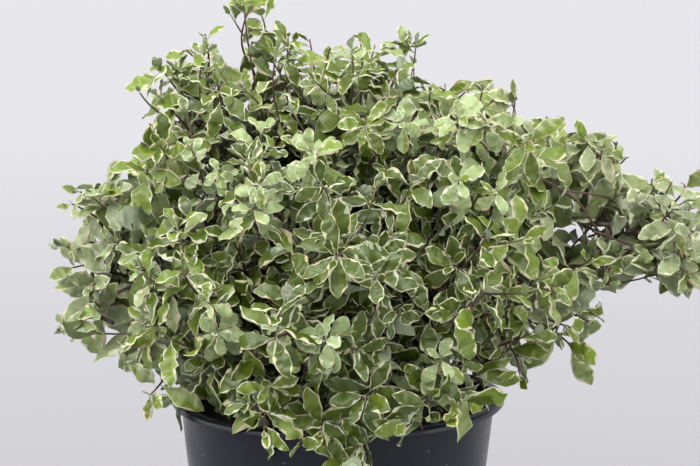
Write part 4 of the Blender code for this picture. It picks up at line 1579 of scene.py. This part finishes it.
class PITTOSPORUM_OT_compost(bpy.types.Operator):
    """Fill the pot with crumbly compost"""

    bl_idname = "pittosporum.compost"
    bl_label = "Fill with compost"
    bl_options = {"UNDO"}

    def execute(self, context):
        rng = np.random.default_rng(context.scene.pittosporum_crown.seed + 3)
        shift = compost_shift(context.scene.pittosporum_pot.relief, rng)
        material = compost_material()
        piece = turned_piece("compost", compost_outline(), COMPOST_SIDES, shift, material)
        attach(piece, "root")
        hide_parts("soil")
        return {"FINISHED"}


# ---- stage ----

# Sun lamps: the place they shine from, the width of their disc in degrees, and their strength
LAMPS = {
    "key": ((-0.85, -1.2, 1.9), 45, 2.5),
    "overhead": ((0.35, 0.10, 2.2), 70, 1.95),
    "right": ((1.8, -0.8, 0.6), 60, 1.6),
    "left": ((-1.8, -0.4, 0.4), 60, 2.0),
}
ROOM_COLOUR = (0.93, 0.94, 0.97)
ROOM_STRENGTH = 0.80
# The floor's radius and its height just under the pot
FLOOR_RADIUS, FLOOR_HEIGHT = 14.0, -0.0006
# Distances from the middle between which the paper turns from its near colour, darkened for
# painted shade round the pot, to the far one
PAINTED_SHADE_START, PAINTED_SHADE_END = 0.3, 3.5
PAPER_FAR = (0.329, 0.323, 0.338)
PAPER_PAINTED_SHADE = (0.262, 0.257, 0.269)
BACKDROP = (0.745, 0.734, 0.776)


def shaded_paper_material():
    """Pale paper with painted shade: it darkens a little towards the pot, by its distance from the
    middle.
    """
    material = plain_material("paper", PAPER_FAR, 0.9)
    tree = material.node_tree
    place = add_node(tree, "TexCoord").outputs["Object"]
    reach = add_node(tree, "VectorMath", {"operation": "LENGTH"}, _0=place).outputs["Value"]
    share = add_node(tree, "MapRange", Value=reach, From_Min=PAINTED_SHADE_START, From_Max=PAINTED_SHADE_END)
    # painted shade: the paper is darker near the pot
    colour = blend(tree, share.outputs["Result"], PAPER_PAINTED_SHADE, PAPER_FAR)
    tree.links.new(colour, tree.nodes["Principled BSDF"].inputs["Base Color"])
    return material


def soft_room():
    """Even light from all round, behind which the camera sees a plain pale backdrop."""
    world = bpy.data.worlds.new("soft_room")
    world.use_nodes = True
    tree = world.node_tree
    light = tree.nodes["Background"]
    light.inputs["Color"].default_value = (*ROOM_COLOUR, 1)
    light.inputs["Strength"].default_value = ROOM_STRENGTH
    seen = add_node(tree, "Background", Color=(*BACKDROP, 1))
    path = add_node(tree, "LightPath")
    mix = add_node(
        tree, "MixShader", _0=path.outputs["Is Camera Ray"], _1=light.outputs["Background"],
        _2=seen.outputs["Background"],
    )
    tree.links.new(mix.outputs["Shader"], tree.nodes["World Output"].inputs["Surface"])
    return world


class PITTOSPORUM_OT_stage(bpy.types.Operator):
    """Set up the floor, the lights, the room and the camera"""

    bl_idname = "pittosporum.stage"
    bl_label = "Set the stage"
    bl_options = {"UNDO"}

    def execute(self, context):
        scene = context.scene
        scene.view_settings.view_transform = "Standard"
        bpy.ops.mesh.primitive_circle_add(
            vertices=96, radius=FLOOR_RADIUS, fill_type="NGON", location=(0, 0, FLOOR_HEIGHT)
        )
        floor = context.object
        floor.name = "stage_floor"
        floor.data.materials.append(shaded_paper_material())
        for name, (place, spread, strength) in LAMPS.items():
            light = bpy.data.lights.new(name, "SUN")
            light.angle = math.radians(spread)
            light.energy = strength
            lamp = bpy.data.objects.new(name, light)
            scene.collection.objects.link(lamp)
            lamp.location = place
            lamp.rotation_euler = (-Vector(place)).to_track_quat("-Z", "Y").to_euler()
        scene.world = soft_room()
        lens = bpy.data.cameras.new("photo_camera")
        lens.lens = LENS_MM
        lens.sensor_width = SENSOR_MM
        camera = bpy.data.objects.new("photo_camera", lens)
        scene.collection.objects.link(camera)
        camera.location = Vector(CAMERA_PLACE)
        camera.rotation_euler = Vector(SIGHT).to_track_quat("-Z", "Y").to_euler()
        scene.camera = camera
        return {"FINISHED"}


class PITTOSPORUM_PT_panel(bpy.types.Panel):
    """Sidebar panel with the plant's settings and steps"""

    bl_label = "Potted pittosporum"
    bl_idname = "PITTOSPORUM_PT_panel"
    bl_space_type = "VIEW_3D"
    bl_region_type = "UI"
    bl_category = "Pittosporum"

    def draw(self, context):
        layout = self.layout
        for group in (context.scene.pittosporum_crown, context.scene.pittosporum_pot):
            for name in type(group).__annotations__:
                layout.prop(group, name)
        for operator in OPERATORS:
            layout.operator(operator.bl_idname)


OPERATORS = (
    PITTOSPORUM_OT_limbs, PITTOSPORUM_OT_twigs, PITTOSPORUM_OT_leaves, PITTOSPORUM_OT_pot,
    PITTOSPORUM_OT_compost, PITTOSPORUM_OT_stage,
)
CLASSES = (PittosporumCrown, PittosporumPot, *OPERATORS, PITTOSPORUM_PT_panel)


def register():
    for cls in CLASSES:
        bpy.utils.register_class(cls)
    bpy.types.Scene.pittosporum_crown = PointerProperty(type=PittosporumCrown)
    bpy.types.Scene.pittosporum_pot = PointerProperty(type=PittosporumPot)


def unregister():
    del bpy.types.Scene.pittosporum_crown, bpy.types.Scene.pittosporum_pot
    for cls in reversed(CLASSES):
        bpy.utils.unregister_class(cls)


def main():
    register()
    bpy.ops.pittosporum.limbs()
    bpy.ops.pittosporum.twigs()
    bpy.ops.pittosporum.leaves()
    bpy.ops.pittosporum.pot()
    bpy.ops.pittosporum.compost()
    bpy.ops.pittosporum.stage()


if __name__ == "__main__":
    main()
